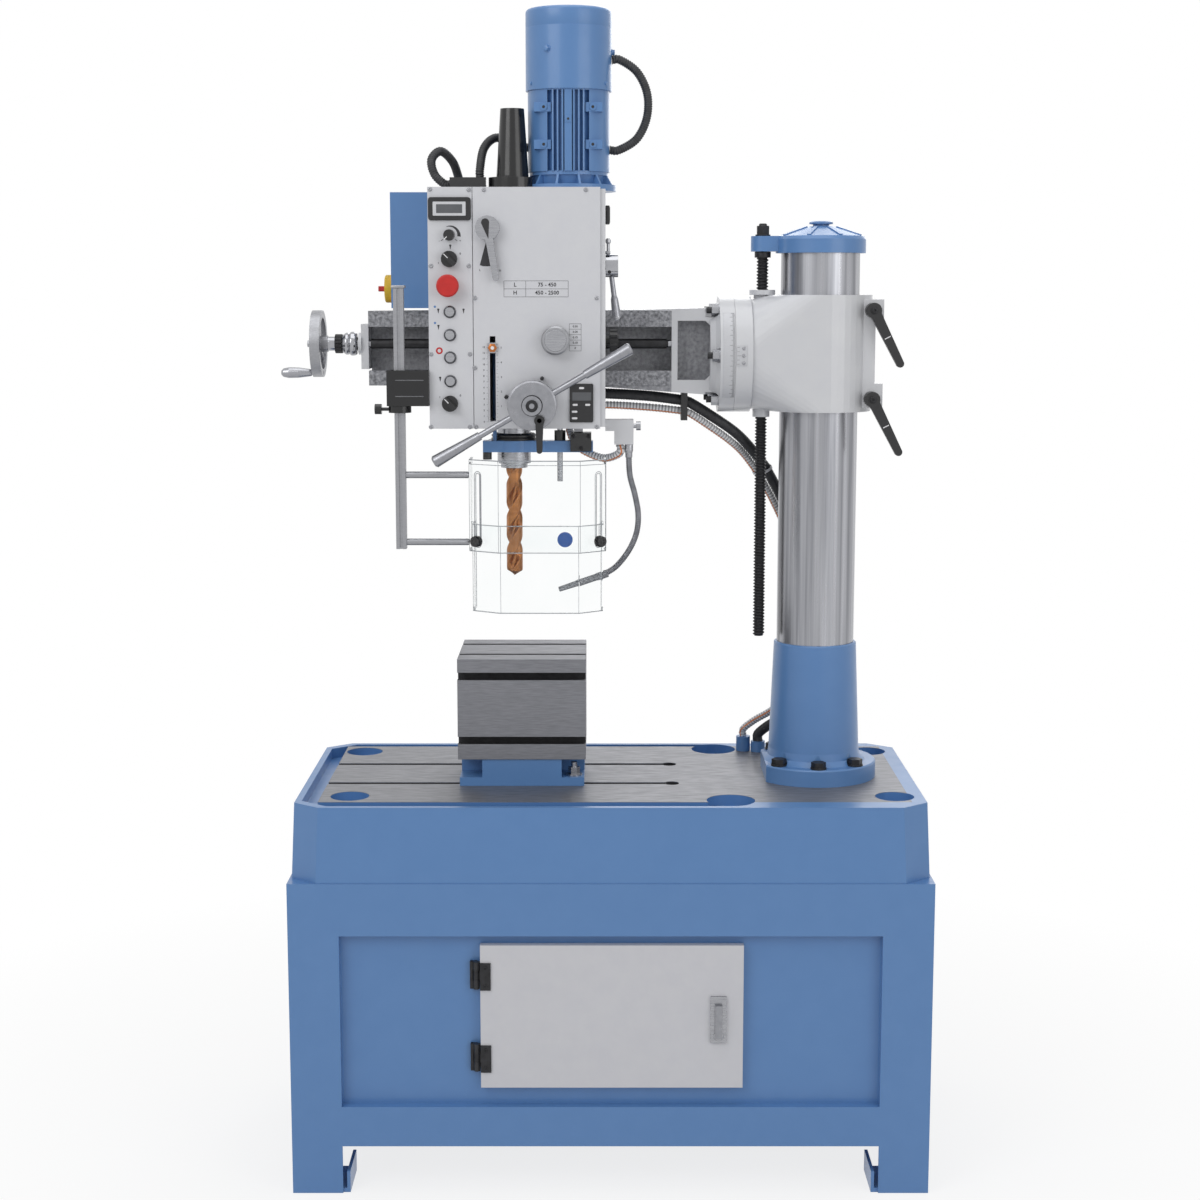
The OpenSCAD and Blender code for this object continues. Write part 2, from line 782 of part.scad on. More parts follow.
// tube swept along points, each with its outer radius; a bore keeps every fourth ring
function strip(a, m, turn) = [for (i = [0 : m - 2], k = [0 : tube_sides - 1])
    let (j = a + i, p = wrap(j, k), side = wrap(j, k + 1), next = wrap(j + 1, k), far = wrap(j + 1, k + 1))
        each turn ? [[p, far, next], [p, side, far]] : [[p, next, far], [p, far, side]]];
function band(a, b) = [for (k = [0 : tube_sides - 1]) each [
    [wrap(a, k), wrap(a, k + 1), wrap(b, k + 1)], [wrap(a, k), wrap(b, k + 1), wrap(b, k)]]];
module tube(p, radii, bore, ends) {
    t = tangents(p, ends);
    n = sides(t);
    m = len(p);
    keep = [for (i = [0 : m - 1]) if (i % bore_step == 0 || i == m - 1) i];
    c = [for (i = [0 : m - 1]) p[i] + (i == 0 ? gap : i == m - 1 ? -gap : 0) * t[i] / 2];
    outer = [for (i = [0 : m - 1]) each ring(c[i], t[i], n[i], radii[i])];
    inner = [for (i = keep) each ring(c[i], t[i], n[i], bore)];
    last = m + len(keep) - 1;
    if (bore > 0)
        polyhedron(concat(outer, inner),
                   concat(strip(0, m, false), strip(m, len(keep), true), band(0, m), band(last, m - 1)));
    else
        polyhedron(outer, concat(strip(0, m, false), [[for (k = [0 : tube_sides - 1]) k]],
                                 [[for (k = [tube_sides - 1 : -1 : 0]) wrap(m - 1, k)]]));
}

// plain cable and ribbed hose along one stretch of a row
module cable(row, r, i = 0) {
    p = smooth(row[i], path_steps);
    tube(p, [for (q = p) r], 0, [turn_at(row, i), turn_at(row, i + 1)]);
}
module ribbed(row, r, bore, pitch, i = 0) {
    fine = smooth(row[i], fine_steps);
    s = run_len(fine);
    n = 2 * floor(s[len(s) - 1] / pitch);
    p = even(fine, n);
    tube(p, [for (j = [0 : n]) j % 2 == 1 ? r[0] : r[1]], bore, [turn_at(row, i), turn_at(row, i + 1)]);
}

// stand

// copies in all four corners of the stand
module all_corners() for (sx = [0, 1], sy = [0, 1]) mirror([sx, 0, 0]) mirror([0, sy, 0]) children();

module anchor_foot() {
    low = [leg_x - foot_in, leg_y - foot_in, 0];
    slab(low, [cab_x - cab_t, cab_y - cab_t, foot_plate_t]);
    slab(low, [low[0] + foot_tab[0], cab_y - cab_t, foot_tab[1]]);
}

module fixed_hinge(z) {
    for (s = [-1, 1]) translate([0, 0, z + s * hinge_third]) {
        zrod([hinge_x, hinge_y, -hinge_third / 2], hinge_r, hinge_third);
        slab([hinge_x - hinge_leaf[0], hinge_y, -hinge_third / 2], [hinge_x, rec_y + slack, hinge_third / 2]);
    }
    zrod([hinge_x, hinge_y, z - hinge_third - slack], hinge_pin_r, 2 * (hinge_third + slack));
}

// the door's outline, drawn in by an inset
module door_block(y0, y1, in) yblock(y0, y1, [door_x, door_z], door_w - 2 * in, door_h - 2 * in);

module cabinet() color(blue) difference() {
    union() {
        difference() {
            slab([-cab_x, -cab_y, 0], [cab_x, cab_y, cab_h]);
            slab([cab_t - cab_x, cab_t - cab_y, -ov], [cab_x - cab_t, cab_y - cab_t, cab_h - cab_t]);
            slab([-leg_x, -cab_y - ov, -ov], [leg_x, cab_y + ov, leg_h]);
            slab([-cab_x - ov, -leg_y, -ov], [cab_x + ov, leg_y, leg_h]);
            slab([-leg_x, -cab_y - ov, rec_z0], [leg_x, ov - cab_y + cab_t, rec_z1]);
        }
        slab([-cab_x, -cab_y, leg_h], [cab_x, cab_y, leg_h + cab_t]);
        difference() {
            slab([-leg_x - cab_t, -cab_y, rec_z0 - cab_t], [leg_x + cab_t, rec_y + cab_t, rec_z1 + cab_t]);
            slab([-leg_x, -cab_y - ov, rec_z0], [leg_x, rec_y, rec_z1]);
        }
        all_corners() anchor_foot();
        for (z = hinge_zs) fixed_hinge(z);
    }
    door_block(rec_y - ov, rec_y + cab_t + ov, door_lap);
    all_corners() zbore([anchor_x, anchor_y, 0], anchor_r, foot_plate_t);
}

module door_hinge(z) difference() {
    union() {
        zrod([hinge_x, hinge_y, z - hinge_third / 2 + gap], hinge_r, hinge_third - 2 * gap);
        slab([hinge_x, hinge_y - hinge_leaf[2], z - hinge_third / 2 + gap],
             [door_x0 + ov, hinge_y + hinge_leaf[2], z + hinge_third / 2 - gap]);
        slab([door_x0, door_y0 - hinge_leaf[2], z - 3 * hinge_third / 2],
             [door_x0 + hinge_leaf[1], door_y0 + ov, z + 3 * hinge_third / 2]);
    }
    zrod([hinge_x, hinge_y, z - hinge_third], hinge_pin_r + run, 2 * hinge_third);
}

module door() color(grey) difference() {
    union() {
        difference() {
            door_block(door_y0, door_y1, 0);
            door_block(door_y0 + door_skin, door_y1 + ov, door_skin);
        }
        for (z = hinge_zs) door_hinge(z);
        yblock(door_y0 - latch_plate[2], door_y0 + ov, [latch_x, latch_z], latch_plate[0], latch_plate[1]);
    }
    yrod([latch_x, door_y1, latch_z + latch_up], latch_shaft_r + run, 2 * door_t);
}

module latch_handle() color(steel) {
    front = door_y0 - latch_plate[2] - gap;
    top = latch_z + latch_up;
    yrod([latch_x, latch_cam_y + latch_cam[2], top], latch_shaft_r, latch_cam_y + latch_cam[2] - front + ov);
    slab([latch_x - latch_bar[0] / 2, front - latch_bar[2], top + latch_bar[0] / 2 - latch_bar[1]],
         [latch_x + latch_bar[0] / 2, front, top + latch_bar[0] / 2]);
    slab([latch_x - latch_cam[0] / 2, latch_cam_y, top - latch_cam[1]],
         [latch_x + latch_cam[0] / 2, latch_cam_y + latch_cam[2], top + latch_cam[0] / 2]);
}

module coolant_pump() color(dark) {
    z0 = leg_h + cab_t;
    slab([tank_x[0], tank_y[0], z0], [tank_x[1], tank_y[1], z0 + tank_h]);
    zrod([pump_at[0], pump_at[1], z0 + tank_h - ov], pump_flange[0], pump_flange[1] + ov);
    zrod([pump_at[0], pump_at[1], z0 + tank_h], pump_r, pump_h);
    zrod([pipe_at[0], pipe_at[1], z0 + tank_h - ov], pipe_r, pipe_h);
}

// base plate and table

function octagon(x, y, c) = [
    [c[0] - x, -y], [x - c[0], -y], [x, c[1] - y], [x, y - c[1]],
    [x - c[0], y], [c[0] - x, y], [-x, y - c[1]], [-x, c[1] - y]];

module base_plate() color(blue) {
    difference() {
        translate([0, 0, cab_h])
            linear_extrude(plate_h, scale = [plate_tx / plate_bx, plate_ty / plate_by], slices = 1, $fn = 8)
                polygon(octagon(plate_bx, plate_by, plate_cut));
        for (i = [0 : 2 : len(plate_ribs) - 2])
            slab([plate_ribs[i], plate_wall - plate_by, cab_h - ov],
                 [plate_ribs[i + 1], plate_by - plate_wall, plate_z - plate_top_t]);
        translate([0, 0, plate_z - channel_depth]) linear_extrude(channel_depth + ov) difference() {
            polygon(octagon(plate_tx - rim_w, plate_ty - rim_w, plate_cut));
            translate([island_x, island_y[0]]) square([2 * cab_x, island_y[1] - island_y[0]]);
            translate([drains[0][0], -cab_y]) square([cab_x, cab_y]);
            translate([drains[1][0], 0]) square([cab_x, cab_y]);
        }
        for (d = drains) {
            zrod([d[0], d[1], plate_z - channel_depth], drain_r, channel_depth + ov);
            zrod([d[0], d[1], plate_z - plate_top_t - ov], drain_hole_r, plate_top_t);
        }
        for (c = corners) {
            zrod([c[0], c[1], plate_z - corner_depth], corner_r, corner_depth + ov);
            zrod([c[0], c[1], plate_z - plate_top_t - ov], corner_hole_r, plate_top_t);
        }
        for (s = [-1, 1]) translate([0, s * slot_gap / 2, plate_z]) {
            translate([island_x - ov, 0, 0]) tee_slot(slot_end_x - island_x);
            zrod([slot_end_x, 0, -slot_neck - slot_t_h], slot_end_r, slot_neck + slot_t_h + ov);
        }
        bolt_circle() zrod([0, 0, plate_z - bolt_deep], bolt_r + gap, bolt_deep + ov);
    }
    for (g = [tail_gland, hose_gland]) zrod([g[0], g[1], plate_z - ov], gland_r, g[2] - plate_z + ov);
}

module box_table() color(steel) difference() {
    union() {
        slab([table_x0, table_y0, plate_z + table_foot_h], [table_x1, table_y1, table_top]);
        difference() {
            slab([table_x0 + table_inset, table_y0 + table_inset, plate_z],
                 [table_x1 - table_inset, table_y1 - table_inset, plate_z + table_foot_h + ov]);
            for (sx = [0, 1], sy = [0, 1])
                translate([sx * (table_w - table_pad[0] - table_inset) + table_x0,
                           sy * (table_d - table_pad[1] - table_inset) + table_y0, plate_z + table_pad_t])
                    cube([table_pad[0] + table_inset, table_pad[1] + table_inset, table_foot_h - table_pad_t]);
        }
    }
    slab([table_x0 + table_wall, table_y0 + table_wall + table_pad[1] / 2, plate_z - ov],
         [table_x1 - table_wall, table_y1 - table_wall - table_pad[1] / 2, table_top - table_wall]);
    slab([table_x0 + table_wall, table_y0 + table_wall, plate_z + table_foot_h + table_wall / 2],
         [table_x1 - table_wall, table_y1 - table_wall, table_top - table_wall]);
    for (y = table_slot_y) translate([table_x0 - ov, y, table_top]) tee_slot(table_w + 2 * ov);
    for (d = table_slot_drop) translate([table_x0 - ov, table_y0, table_top - d])
        rotate([right_angle, 0, 0]) tee_slot(table_w + 2 * ov);
    for (b = tee_bolts) zbore([b[0], b[1], plate_z], tee_slot_w / 2, table_pad_t);
}

// copies on the foot's bolt circle
module bolt_circle() for (a = bolt_angles)
    translate([column_x + bolt_ring * cos(a), bolt_ring * sin(a), 0]) children();

module hex_bolts() color(black) {
    top = plate_z + foot_flange_t;
    bolt_circle() {
        zrod([0, 0, plate_z - bolt_deep + ov], bolt_r, foot_flange_t + bolt_deep);
        zrod([0, 0, top], washer[0], washer[1]);
        translate([0, 0, top + washer[1]]) hex(bolt_af, bolt_head);
    }
    for (b = tee_bolts) translate([b[0], b[1], 0]) {
        slab([-tee_head[0] / 2, -tee_head[0] / 2, plate_z - slot_neck - tee_head[1] - gap],
             [tee_head[0] / 2, tee_head[0] / 2, plate_z - slot_neck - gap]);
        zrod([0, 0, plate_z - slot_neck - ov], tee_r, slot_neck + table_pad_t + 2 * tee_nut_h);
        zrod([0, 0, plate_z + table_pad_t], washer[0], washer[1]);
        translate([0, 0, plate_z + table_pad_t + washer[1]]) hex(tee_nut_af, tee_nut_h);
    }
}

// column

module column_foot() color(blue) difference() {
    r = column_r + run;
    top = plate_z + foot_h;
    step = plate_z + foot_flange_t;
    zturn([column_x, 0, 0], [
        [r, plate_z], [foot_flange_r, plate_z], [foot_flange_r, step - foot_step[1]],
        [foot_flange_r - foot_step[1], step], [column_r + foot_fillet[0], step],
        [column_r + foot_fillet[1], step + foot_step[0]], [column_r + foot_r1, step + foot_step[2]],
        [column_r + foot_r2, top - foot_step[1]], [column_r + foot_r2 - foot_step[1], top], [r, top]]);
    slab([column_x - 2 * foot_flange_r, -2 * foot_flange_r, plate_z - ov],
         [column_x - foot_flat, 2 * foot_flange_r, top]);
    bolt_circle() {
        zbore([0, 0, plate_z], bolt_r + gap, foot_flange_t);
        zrod([0, 0, step], washer[0] + gap, foot_step[2]);
    }
}

module column() color(steel) difference() {
    zrod([column_x, 0, plate_z], column_r, column_len);
    zbore([column_x, 0, plate_z], column_r - column_wall, column_len);
}

module column_cap() color(blue) difference() {
    union() {
        zturn([column_x, 0, cap_z0], concat([[0, cap_roof], [column_r + run, cap_roof], [column_r + run, 0],
            [cap_r, 0]], cap_profile, [[0, cap_profile[len(cap_profile) - 1][1]]]));
        zrod([lift_x, 0, cap_z0 + lug_z[0]], lug_r, lug_z[1] - lug_z[0]);
        slab([lift_x, -lug_r, cap_z0 + lug_z[0]],
             [column_x - column_r + run, lug_r, cap_z0 + lug_z[1]]);
    }
    zrod([lift_x, 0, cap_z0 - ov], lift_neck_r + run, lug_z[1] + 2 * ov);
    zrod([column_x, 0, cap_z0 - ov], column_r + run, cap_roof + ov);
}

module lift_screw() color(black) {
    under = cap_z0 + lug_z[0] - gap;
    over = cap_z0 + lug_z[1] + gap;
    zturn([lift_x, 0, 0], [[0, lift_z0], [lift_r, lift_z0], [lift_r, under - lift_collar[1]],
        [lift_collar[0], under - lift_collar[1]], [lift_collar[0], under], [lift_neck_r, under],
        [lift_neck_r, over], [lift_washer[0], over], [lift_washer[0], over + lift_washer[1]],
        [0, over + lift_washer[1]]]);
    translate([lift_x, 0, over + lift_washer[1]]) hex(lift_hex_af, lift_hex_h);
}

// collar and arm

module collar() color(grey) {
    difference() {
        union() {
            xrod([collar_fx[0], 0, arm_z], flange_r, collar_fx[1] - collar_fx[0]);
            hull() {
                xrod([collar_fx[1] - ov, 0, arm_z], barrel_r, ov);
                zrod([column_x, 0, collar_z0], sleeve_r, collar_h);
            }
            slab([lug_block[0], -lug_half, collar_z0 + lug_inset],
                 [lug_block[1], lug_half, collar_z1 - lug_inset]);
        }
        zbore([column_x, 0, collar_z0], column_r + run, collar_h);
        zrod([lift_x, 0, collar_z0 - collar_h], nut_r + run, 3 * collar_h);
        slab([column_x, -slit / 2, collar_z0 - ov], [lug_block[1] + ov, slit / 2, collar_z1 + ov]);
        xblock(lug_block[1] - lug_waist[0], lug_block[1] + ov, [0, arm_z],
               2 * (lug_half + ov), 2 * lug_waist[1]);
        for (z = clamp_z) yrod([clamp_x, clamp_blind - lug_half, z], clamp_r + run, clamp_blind + ov);
        xrod([collar_fx[0] - ov, 0, arm_z], pilot_r + run, pilot_len + ov + slack);
        xturn([collar_fx[0], 0, arm_z],
              [[groove_r[0], -ov], [groove_r[1], -ov], [groove_r[1], groove_d], [groove_r[0], groove_d]]);
    }
    difference() {
        union() {
            zrod([lift_x, 0, collar_z0 - nut_below], nut_r, collar_h + nut_below + ov);
            zrod([lift_x, 0, collar_z1], nut_flange[0], nut_flange[1]);
        }
        zbore([lift_x, 0, collar_z0 - nut_below], lift_r + run, collar_h + nut_below + nut_flange[1] + ov);
    }
}

module clamp_lever(z) color(black) hand_lever([clamp_x, z], -lug_half - gap, clamp_hub, clamp_tip, clamp_grip,
    clamp_r, clamp_blind - slack + gap);
module upper_clamp_lever() clamp_lever(clamp_z[0]);
module lower_clamp_lever() clamp_lever(clamp_z[1]);

function lift_points(p) = [for (q = p) [q[0], q[1] + arm_z]];
function arm_bolt(i) = [arm_bolt_ring * cos(arm_bolt_step * i), arm_bolt_ring * sin(arm_bolt_step * i)];

module arm() color(dark) difference() {
    union() {
        yplate(arm_y[0], arm_y[1]) polygon(lift_points(concat(arm_low, arm_high)));
        slab([arm_x0, way_y, arm_z + way_top[0]], [way_x1, arm_y[0] + ov, arm_z + way_top[1]]);
        slab([arm_x0, way_y, arm_z + way_low[0]], [way_x1, arm_y[0] + ov, arm_z + way_low[1]]);
        xrod([arm_fx[0], 0, arm_z], flange_r, arm_fx[1] - arm_fx[0]);
        xturn([0, 0, arm_z], neck);
        xrod([arm_fx[1] - ov, 0, arm_z], pilot_r, pilot_len + ov);
        difference() {
            slab([clip_x[0], -clip_y, arm_z + clip_z[0]], [clip_x[1], clip_y, arm_z + clip_z[1]]);
            for (h = clip_holes) xbore([clip_x[0], h[0], arm_z + h[1]], h[2], clip_x[1] - clip_x[0]);
        }
    }
    slab([arm_x0 - ov, way_y - ov, arm_z + way_low[1]], [rib_x[0], web_y[0], arm_z + way_top[0]]);
    slab([arm_x0 - ov, under_y, arm_z + way_low[1] - under_z],
         [rib_x[0], web_y[0], arm_z + way_top[0] + under_z]);
    yplate(arm_y[0] - ov, bay_y) polygon(lift_points([
        [rib_x[1], bay_z[0]], [bay_x1 - bay_cut, bay_z[0]], [bay_x1, bay_z[0] + bay_cut],
        [bay_x1, bay_z[1] - bay_cut], [bay_x1 - bay_cut, bay_z[1]], [rib_x[1], bay_z[1]]]));
    slab([back_x[0], web_y[1], arm_z + back_z[0]], [back_x[1], arm_y[1] + ov, arm_z + back_z[1]]);
    xrod([traverse_x[1], screw_y, screw_z], shaft_r + run, traverse_end + slack - traverse_x[1]);
    for (i = [0 : arm_bolts_n - 1]) {
        xrod([spot_x, arm_bolt(i)[0], arm_z + arm_bolt(i)[1]], spot_r, arm_fx[0] - spot_x);
        xrod([spot_x, arm_bolt(i)[0], arm_z + arm_bolt(i)[1]], arm_bolt_r + gap, arm_fx[1] - spot_x + ov);
    }
}

module arm_bolts() color(steel) for (i = [0 : arm_bolts_n - 1])
    translate([0, arm_bolt(i)[0], arm_z + arm_bolt(i)[1]]) {
        xrod([arm_bolt_x[0], 0, 0], arm_bolt_r, arm_bolt_x[1] - arm_bolt_x[0]);
        xrod([arm_fx[0] - arm_washer[1], 0, 0], arm_washer[0], arm_washer[1]);
        translate([arm_fx[0] - arm_washer[1] - arm_nut[1], 0, 0])
            rotate([0, right_angle, 0]) hex(arm_nut[0], arm_nut[1]);
    }

module end_bracket() color(grey) difference() {
    union() {
        slab([bracket_x[0], bracket_y[0], arm_z + bracket_z[0]],
             [bracket_x[1], bracket_y[1], arm_z + bracket_z[1]]);
        xrod([bracket_x[0] - bracket_boss[1], screw_y, screw_z], bracket_boss[0], bracket_boss[1] + ov);
    }
    xbore([bracket_x[0] - bracket_boss[1], screw_y, screw_z], shaft_r + run,
          bracket_x[1] - bracket_x[0] + bracket_boss[1]);
}

module traverse_screw() color(steel) xturn([0, screw_y, screw_z], [
    [0, hub_x0], [shaft_r, hub_x0], [shaft_r, -dial[2]], [dial[0], -dial[2]], [dial[0], -dial[1]],
    [shaft_r + slack, -dial[1]], [shaft_r + slack, -ball[2]], [ball[0] * ball_share, -ball[2]],
    [ball[0], -(ball[1] + ball[2]) / 2], [ball[0] * ball_share, -ball[1]], [shaft_r, -ball[1]],
    [shaft_r, traverse_x[0]], [traverse_r, traverse_x[0]], [traverse_r, traverse_x[1] - slack],
    [shaft_r, traverse_x[1] - slack],
    [shaft_r, traverse_end], [0, traverse_end]]);

module handwheel() color(alu) difference() {
    mid = (wheel_x[0] + wheel_x[1]) / 2;
    union() {
        translate([mid, screw_y, screw_z]) rotate([0, right_angle, 0]) rotate_extrude()
            translate([wheel_r - wheel_rim, -wheel_rim_t / 2]) square([wheel_rim, wheel_rim_t]);
        xrod([wheel_x[0], screw_y, screw_z], wheel_hub[0], wheel_hub[1]);
        for (i = [0 : spoke_n - 1])
            translate([mid, screw_y, screw_z]) rotate([360 * i / spoke_n + right_angle, 0, 0])
                slab([-spoke[1] / 2, 0, -spoke[0] / 2], [spoke[1] / 2, wheel_r - wheel_rim / 2, spoke[0] / 2]);
    }
    xbore([wheel_x[0], screw_y, screw_z], shaft_r + run, wheel_hub[1]);
    xbore([wheel_x[0], screw_y, screw_z - wheel_r + crank_at], crank_r + run, wheel_hub[1]);
}

module crank_handle() color(steel)
    translate([wheel_x[0] - crank_gap, screw_y, screw_z - wheel_r + crank_at]) {
        rotate([0, 0, 180]) xturn([0, 0, 0], crank_profile);
        xrod([-ov, 0, 0], crank_r, wheel_rim_t + ov);
    }

// head

// bore through the front panel, and pin from behind it
module front_hole(p, r) yrod([p[0], head_y[0] + ov, p[1]], r, panel_t + 2 * ov);
module panel_pin(p, r, out) yrod([p[0], head_y[0] + inset, p[1]], r, inset + panel_t + out);

// slide bar behind the head, between heights above the arm's axis
module key_bar(y, z) slab([key_x[0], y[0], arm_z + z[0]], [key_x[1], y[1], arm_z + z[1]]);

module head_housing() color(grey) difference() {
    spindle_at = [spindle_x, spindle_y, 0];
    motor_at = [motor_x, motor_y, 0];
    low = [0, 0, head_z0];
    shelf = [0, 0, head_z0 + shelf_z[0]];
    roof = [0, 0, head_z1 - head_t];
    shelf_t = shelf_z[1] - shelf_z[0];
    union() {
        difference() {
            slab([head_x0, head_y[0], head_z0], [head_x1, head_y[1], head_z1]);
            slab([head_x0 + head_t, head_y[0] - ov, head_z0 + head_t],
                 [head_x1 - head_t, head_y[1] - head_t, head_z1 - head_t]);
        }
        zrod(spindle_at + low, quill_r + sleeve_wall, sleeve_h);
        slab(shelf + [head_x0 + ov, head_y[0] + head_t, 0], shelf + [head_x1 - ov, head_y[1] - ov, shelf_t]);
        yrod([hub_x, head_y[1] - ov, hub_z], bearing_r, head_t + bearing_t);
        key_bar([head_y[1] - ov, key_in], [way_low[1] + gap, way_top[0] - gap]);
        key_bar([under_y + gap, key_in], [way_low[1] - under_z + gap, way_top[0] + under_z - gap]);
        for (w = [way_top, way_low]) key_bar([head_y[1] - ov, way_y - gap], [w[0] + pad_z, w[1] - pad_z]);
        for (g = head_glands) yrod([g[0], head_y[1] + head_gland_t, g[1]], g[2], head_gland_t + ov);
        slab(gland_block[0] - [0, 0, ov], gland_block[1]);
    }
    zbore(spindle_at + low, quill_r + run, sleeve_h);
    yrod([hub_x, spindle_y + pinion_half + slack, hub_z], rack_pitch_r + rack_m + slack,
         2 * (pinion_half + slack));
    yrod([hub_x, head_y[1] - head_t / 2, hub_z], feed_shaft_r + run, head_y[1] - head_y[0]);
    zbore(spindle_at + shelf, gear_hub_r + run, shelf_t);
    zbore(motor_at + shelf, shaft_m + run, shelf_t);
    zbore(motor_at + roof, shaft_m + slack, head_t);
    zbore(spindle_at + roof, spindle_r + slack, head_t);
    zbore(stop_at + low, stop_r + hole_slack, head_t);
    zbore(pointer_at + low, pointer_r + hole_slack, head_t);
    slab([reader[0][0] - hole_slack, reader[0][1] - hole_slack, head_z0 - ov],
         [reader[1][0] + hole_slack, reader[1][1] + hole_slack, head_z0 + head_t + ov]);
    xbore([key_x[0], screw_y, screw_z], traverse_r + run, key_x[1] - key_x[0]);
    xbore([head_x1 - head_t, side_at[0], side_at[1]], side_pin + run, head_t);
    xbore([head_x1 - head_t, star_at[0], star_at[1]], star_pin + run, head_t);
}

module front_panel() color(grey) {
    difference() {
        for (i = [0, 2]) slab([panel_x[i], panel_y, head_z0 + panel_z[0]],
                              [panel_x[i + 1], head_y[0], head_z1 + panel_z[1]]);
        slab([pointer_at[0] - slot_half, panel_y - ov, head_z0 + slot_ends[0]],
             [pointer_at[0] + slot_half, head_y[0] + ov, head_z0 + slot_ends[1]]);
        for (h = [[[hub_x, hub_z], feed_shaft_r], [gear_at, gear_pin], [feed_at, feed_pin], [pot_at, pot_pin],
                  [estop_at, estop_pin], [upper_at, dial_pin], [lower_at, dial_pin]])
            front_hole(h[0], h[1] + run);
        for (z = push_z) front_hole([push_x, z], push_r + run);
    }
    for (d = [lcd, readout]) slab([d[0][0], panel_y - display_t, d[0][1]], [d[1][0], panel_y, d[1][1]]);
}

module electrical_box() color(blue) {
    difference() {
        union() {
            slab(ebox[0], ebox[1]);
            xblock(ebox[0][0] - switch_plate[0], ebox[0][0] + ov, switch_at, switch_plate[1], switch_plate[2]);
        }
        slab(ebox[0] + ebox_skin * [1, 1, 1], ebox[1] + [-ebox_skin, ov, -ebox_skin]);
        xbore([ebox[0][0] - switch_plate[0], switch_at[0], switch_at[1]], switch_pin + run,
              switch_plate[0] + ebox_skin);
    }
    slab([ebox[0][0], ebox[1][1] + gap, ebox[0][2]], [ebox[1][0], ebox[1][1] + gap + ebox_cover, ebox[1][2]]);
}

module main_switch() color(red) {
    face = ebox[0][0] - switch_plate[0] - gap;
    xrod([face - switch_hub[1], switch_at[0], switch_at[1]], switch_hub[0], switch_hub[1]);
    xrod([face - ov, switch_at[0], switch_at[1]], switch_pin, switch_plate[0] + ebox_skin + ov);
    front = face - switch_hub[1];
    xblock(front - switch_bar[2], front + ov, switch_at, switch_bar[1], switch_bar[0]);
}

// drive

// a child and its mirror image left and right
module both_sides() for (s = [0, 1]) mirror([s, 0, 0]) children();

// fins run front to back between a middle strip and two solid flanks
module motor_section() intersection() {
    circle(r = motor_r);
    union() {
        circle(r = motor_r - motor_core);
        square([boss_strip, 2 * motor_r], center = true);
        both_sides() {
            for (i = [1 : fin_n]) translate([i * fin_pitch, -motor_r]) square([fin_t, 2 * motor_r]);
            translate([flank_in, -motor_r]) square([motor_r, 2 * motor_r]);
        }
    }
}

module motor_housing() color(blue) translate([motor_x, motor_y, head_z1]) difference() {
    foot = motor_flange[1];
    union() {
        zturn([0, 0, 0], [[0, 0], [motor_flange[0], 0], motor_flange, [bell[0], foot], [bell[1], bell[2]],
            [bell_ring[0], bell[2]], bell_ring, [0, bell_ring[1]]]);
        for (i = [0 : bell_rib_n - 1]) rotate([0, 0, 360 * (i + half) / bell_rib_n])
            yplate(-bell_rib[1] / 2, bell_rib[1] / 2)
                polygon([[motor_core, foot - ov], [bell_rib[0], foot - ov], [bell_rib[0], foot],
                         [bell_ring[0], bell[2] + ov], [motor_core, bell[2] + ov]]);
        translate([0, 0, bell_ring[1] - ov])
            linear_extrude(motor_top - cowl_lap - bell_ring[1]) motor_section();
        zrod([0, 0, motor_top - cowl_lap - 2 * ov], motor_r, cowl_lap + 2 * ov);
        both_sides() for (z = pad_ups) {
            slab([pad_x[0], -pad_y[0], z - motor_pad_h / 2], [pad_x[1], -pad_y[1], z + motor_pad_h / 2]);
            yrod([motor_boss[0], -pad_y[1], z], motor_boss[1], pad_y[0] - pad_y[1] + motor_boss[3]);
        }
    }
    both_sides() for (z = pad_ups) yrod([motor_boss[0], -rotor_bore, z], motor_boss[2], pad_y[0]);
    zrod([0, 0, motor_bore_z[0]], rotor_bore, motor_bore_z[1] - motor_bore_z[0]);
    zbore([0, 0, 0], shaft_m + run, motor_top);
}

function cowl_dome(in) =
    concat([for (s = cowl_shares) [cowl_r * s[0] - in, cowl_h * s[1] - in]], [[0, cowl_h - in]]);

module motor_cowl() color(blue)
    translate([motor_x, motor_y, head_z1 + motor_top - cowl_lap]) difference() {
        rotate_extrude() polygon(concat([[0, 0], [cowl_r, 0]], cowl_dome(0)));
        rotate_extrude() polygon(concat([[0, -ov], [motor_r + gap, -ov]], cowl_dome(cowl_skin)));
        for (i = [0 : vent_n - 1]) rotate([0, 0, 360 * (i + half) / vent_n])
            slab([vent[0], -vent[2] / 2, cowl_h / 2], [vent[1] - ov, vent[2] / 2, cowl_h + ov]);
    }

module motor_rotor() color(steel) translate([motor_x, motor_y, 0]) {
    zrod([0, 0, head_z0 + shaft_low], shaft_m, shaft_high - shaft_low);
    zrod([0, 0, head_z1 + rotor_z[0]], rotor_r, rotor_z[1] - rotor_z[0]);
    translate([0, 0, head_z0 + gear_z[0]]) rotate([0, 0, mesh_angle + 180 + 180 / motor_n])
        linear_extrude(gear_z[1] - gear_z[0]) polygon(gear_points(gear_m, motor_n, gear_play));
    zrod([0, 0, head_z0 + fan_z[0]], fan[0], fan_z[1] - fan_z[0]);
    for (i = [0 : fan_n - 1]) rotate([0, 0, 360 * i / fan_n])
        slab([0, -fan[2] / 2, head_z0 + fan_z[0]], [fan[1], fan[2] / 2, head_z0 + fan_z[1]]);
}

module spline(r, tip, t) {
    circle(r = r);
    for (i = [0 : spline_n / 2 - 1]) rotate(360 * i / spline_n) square([2 * tip, t], center = true);
}

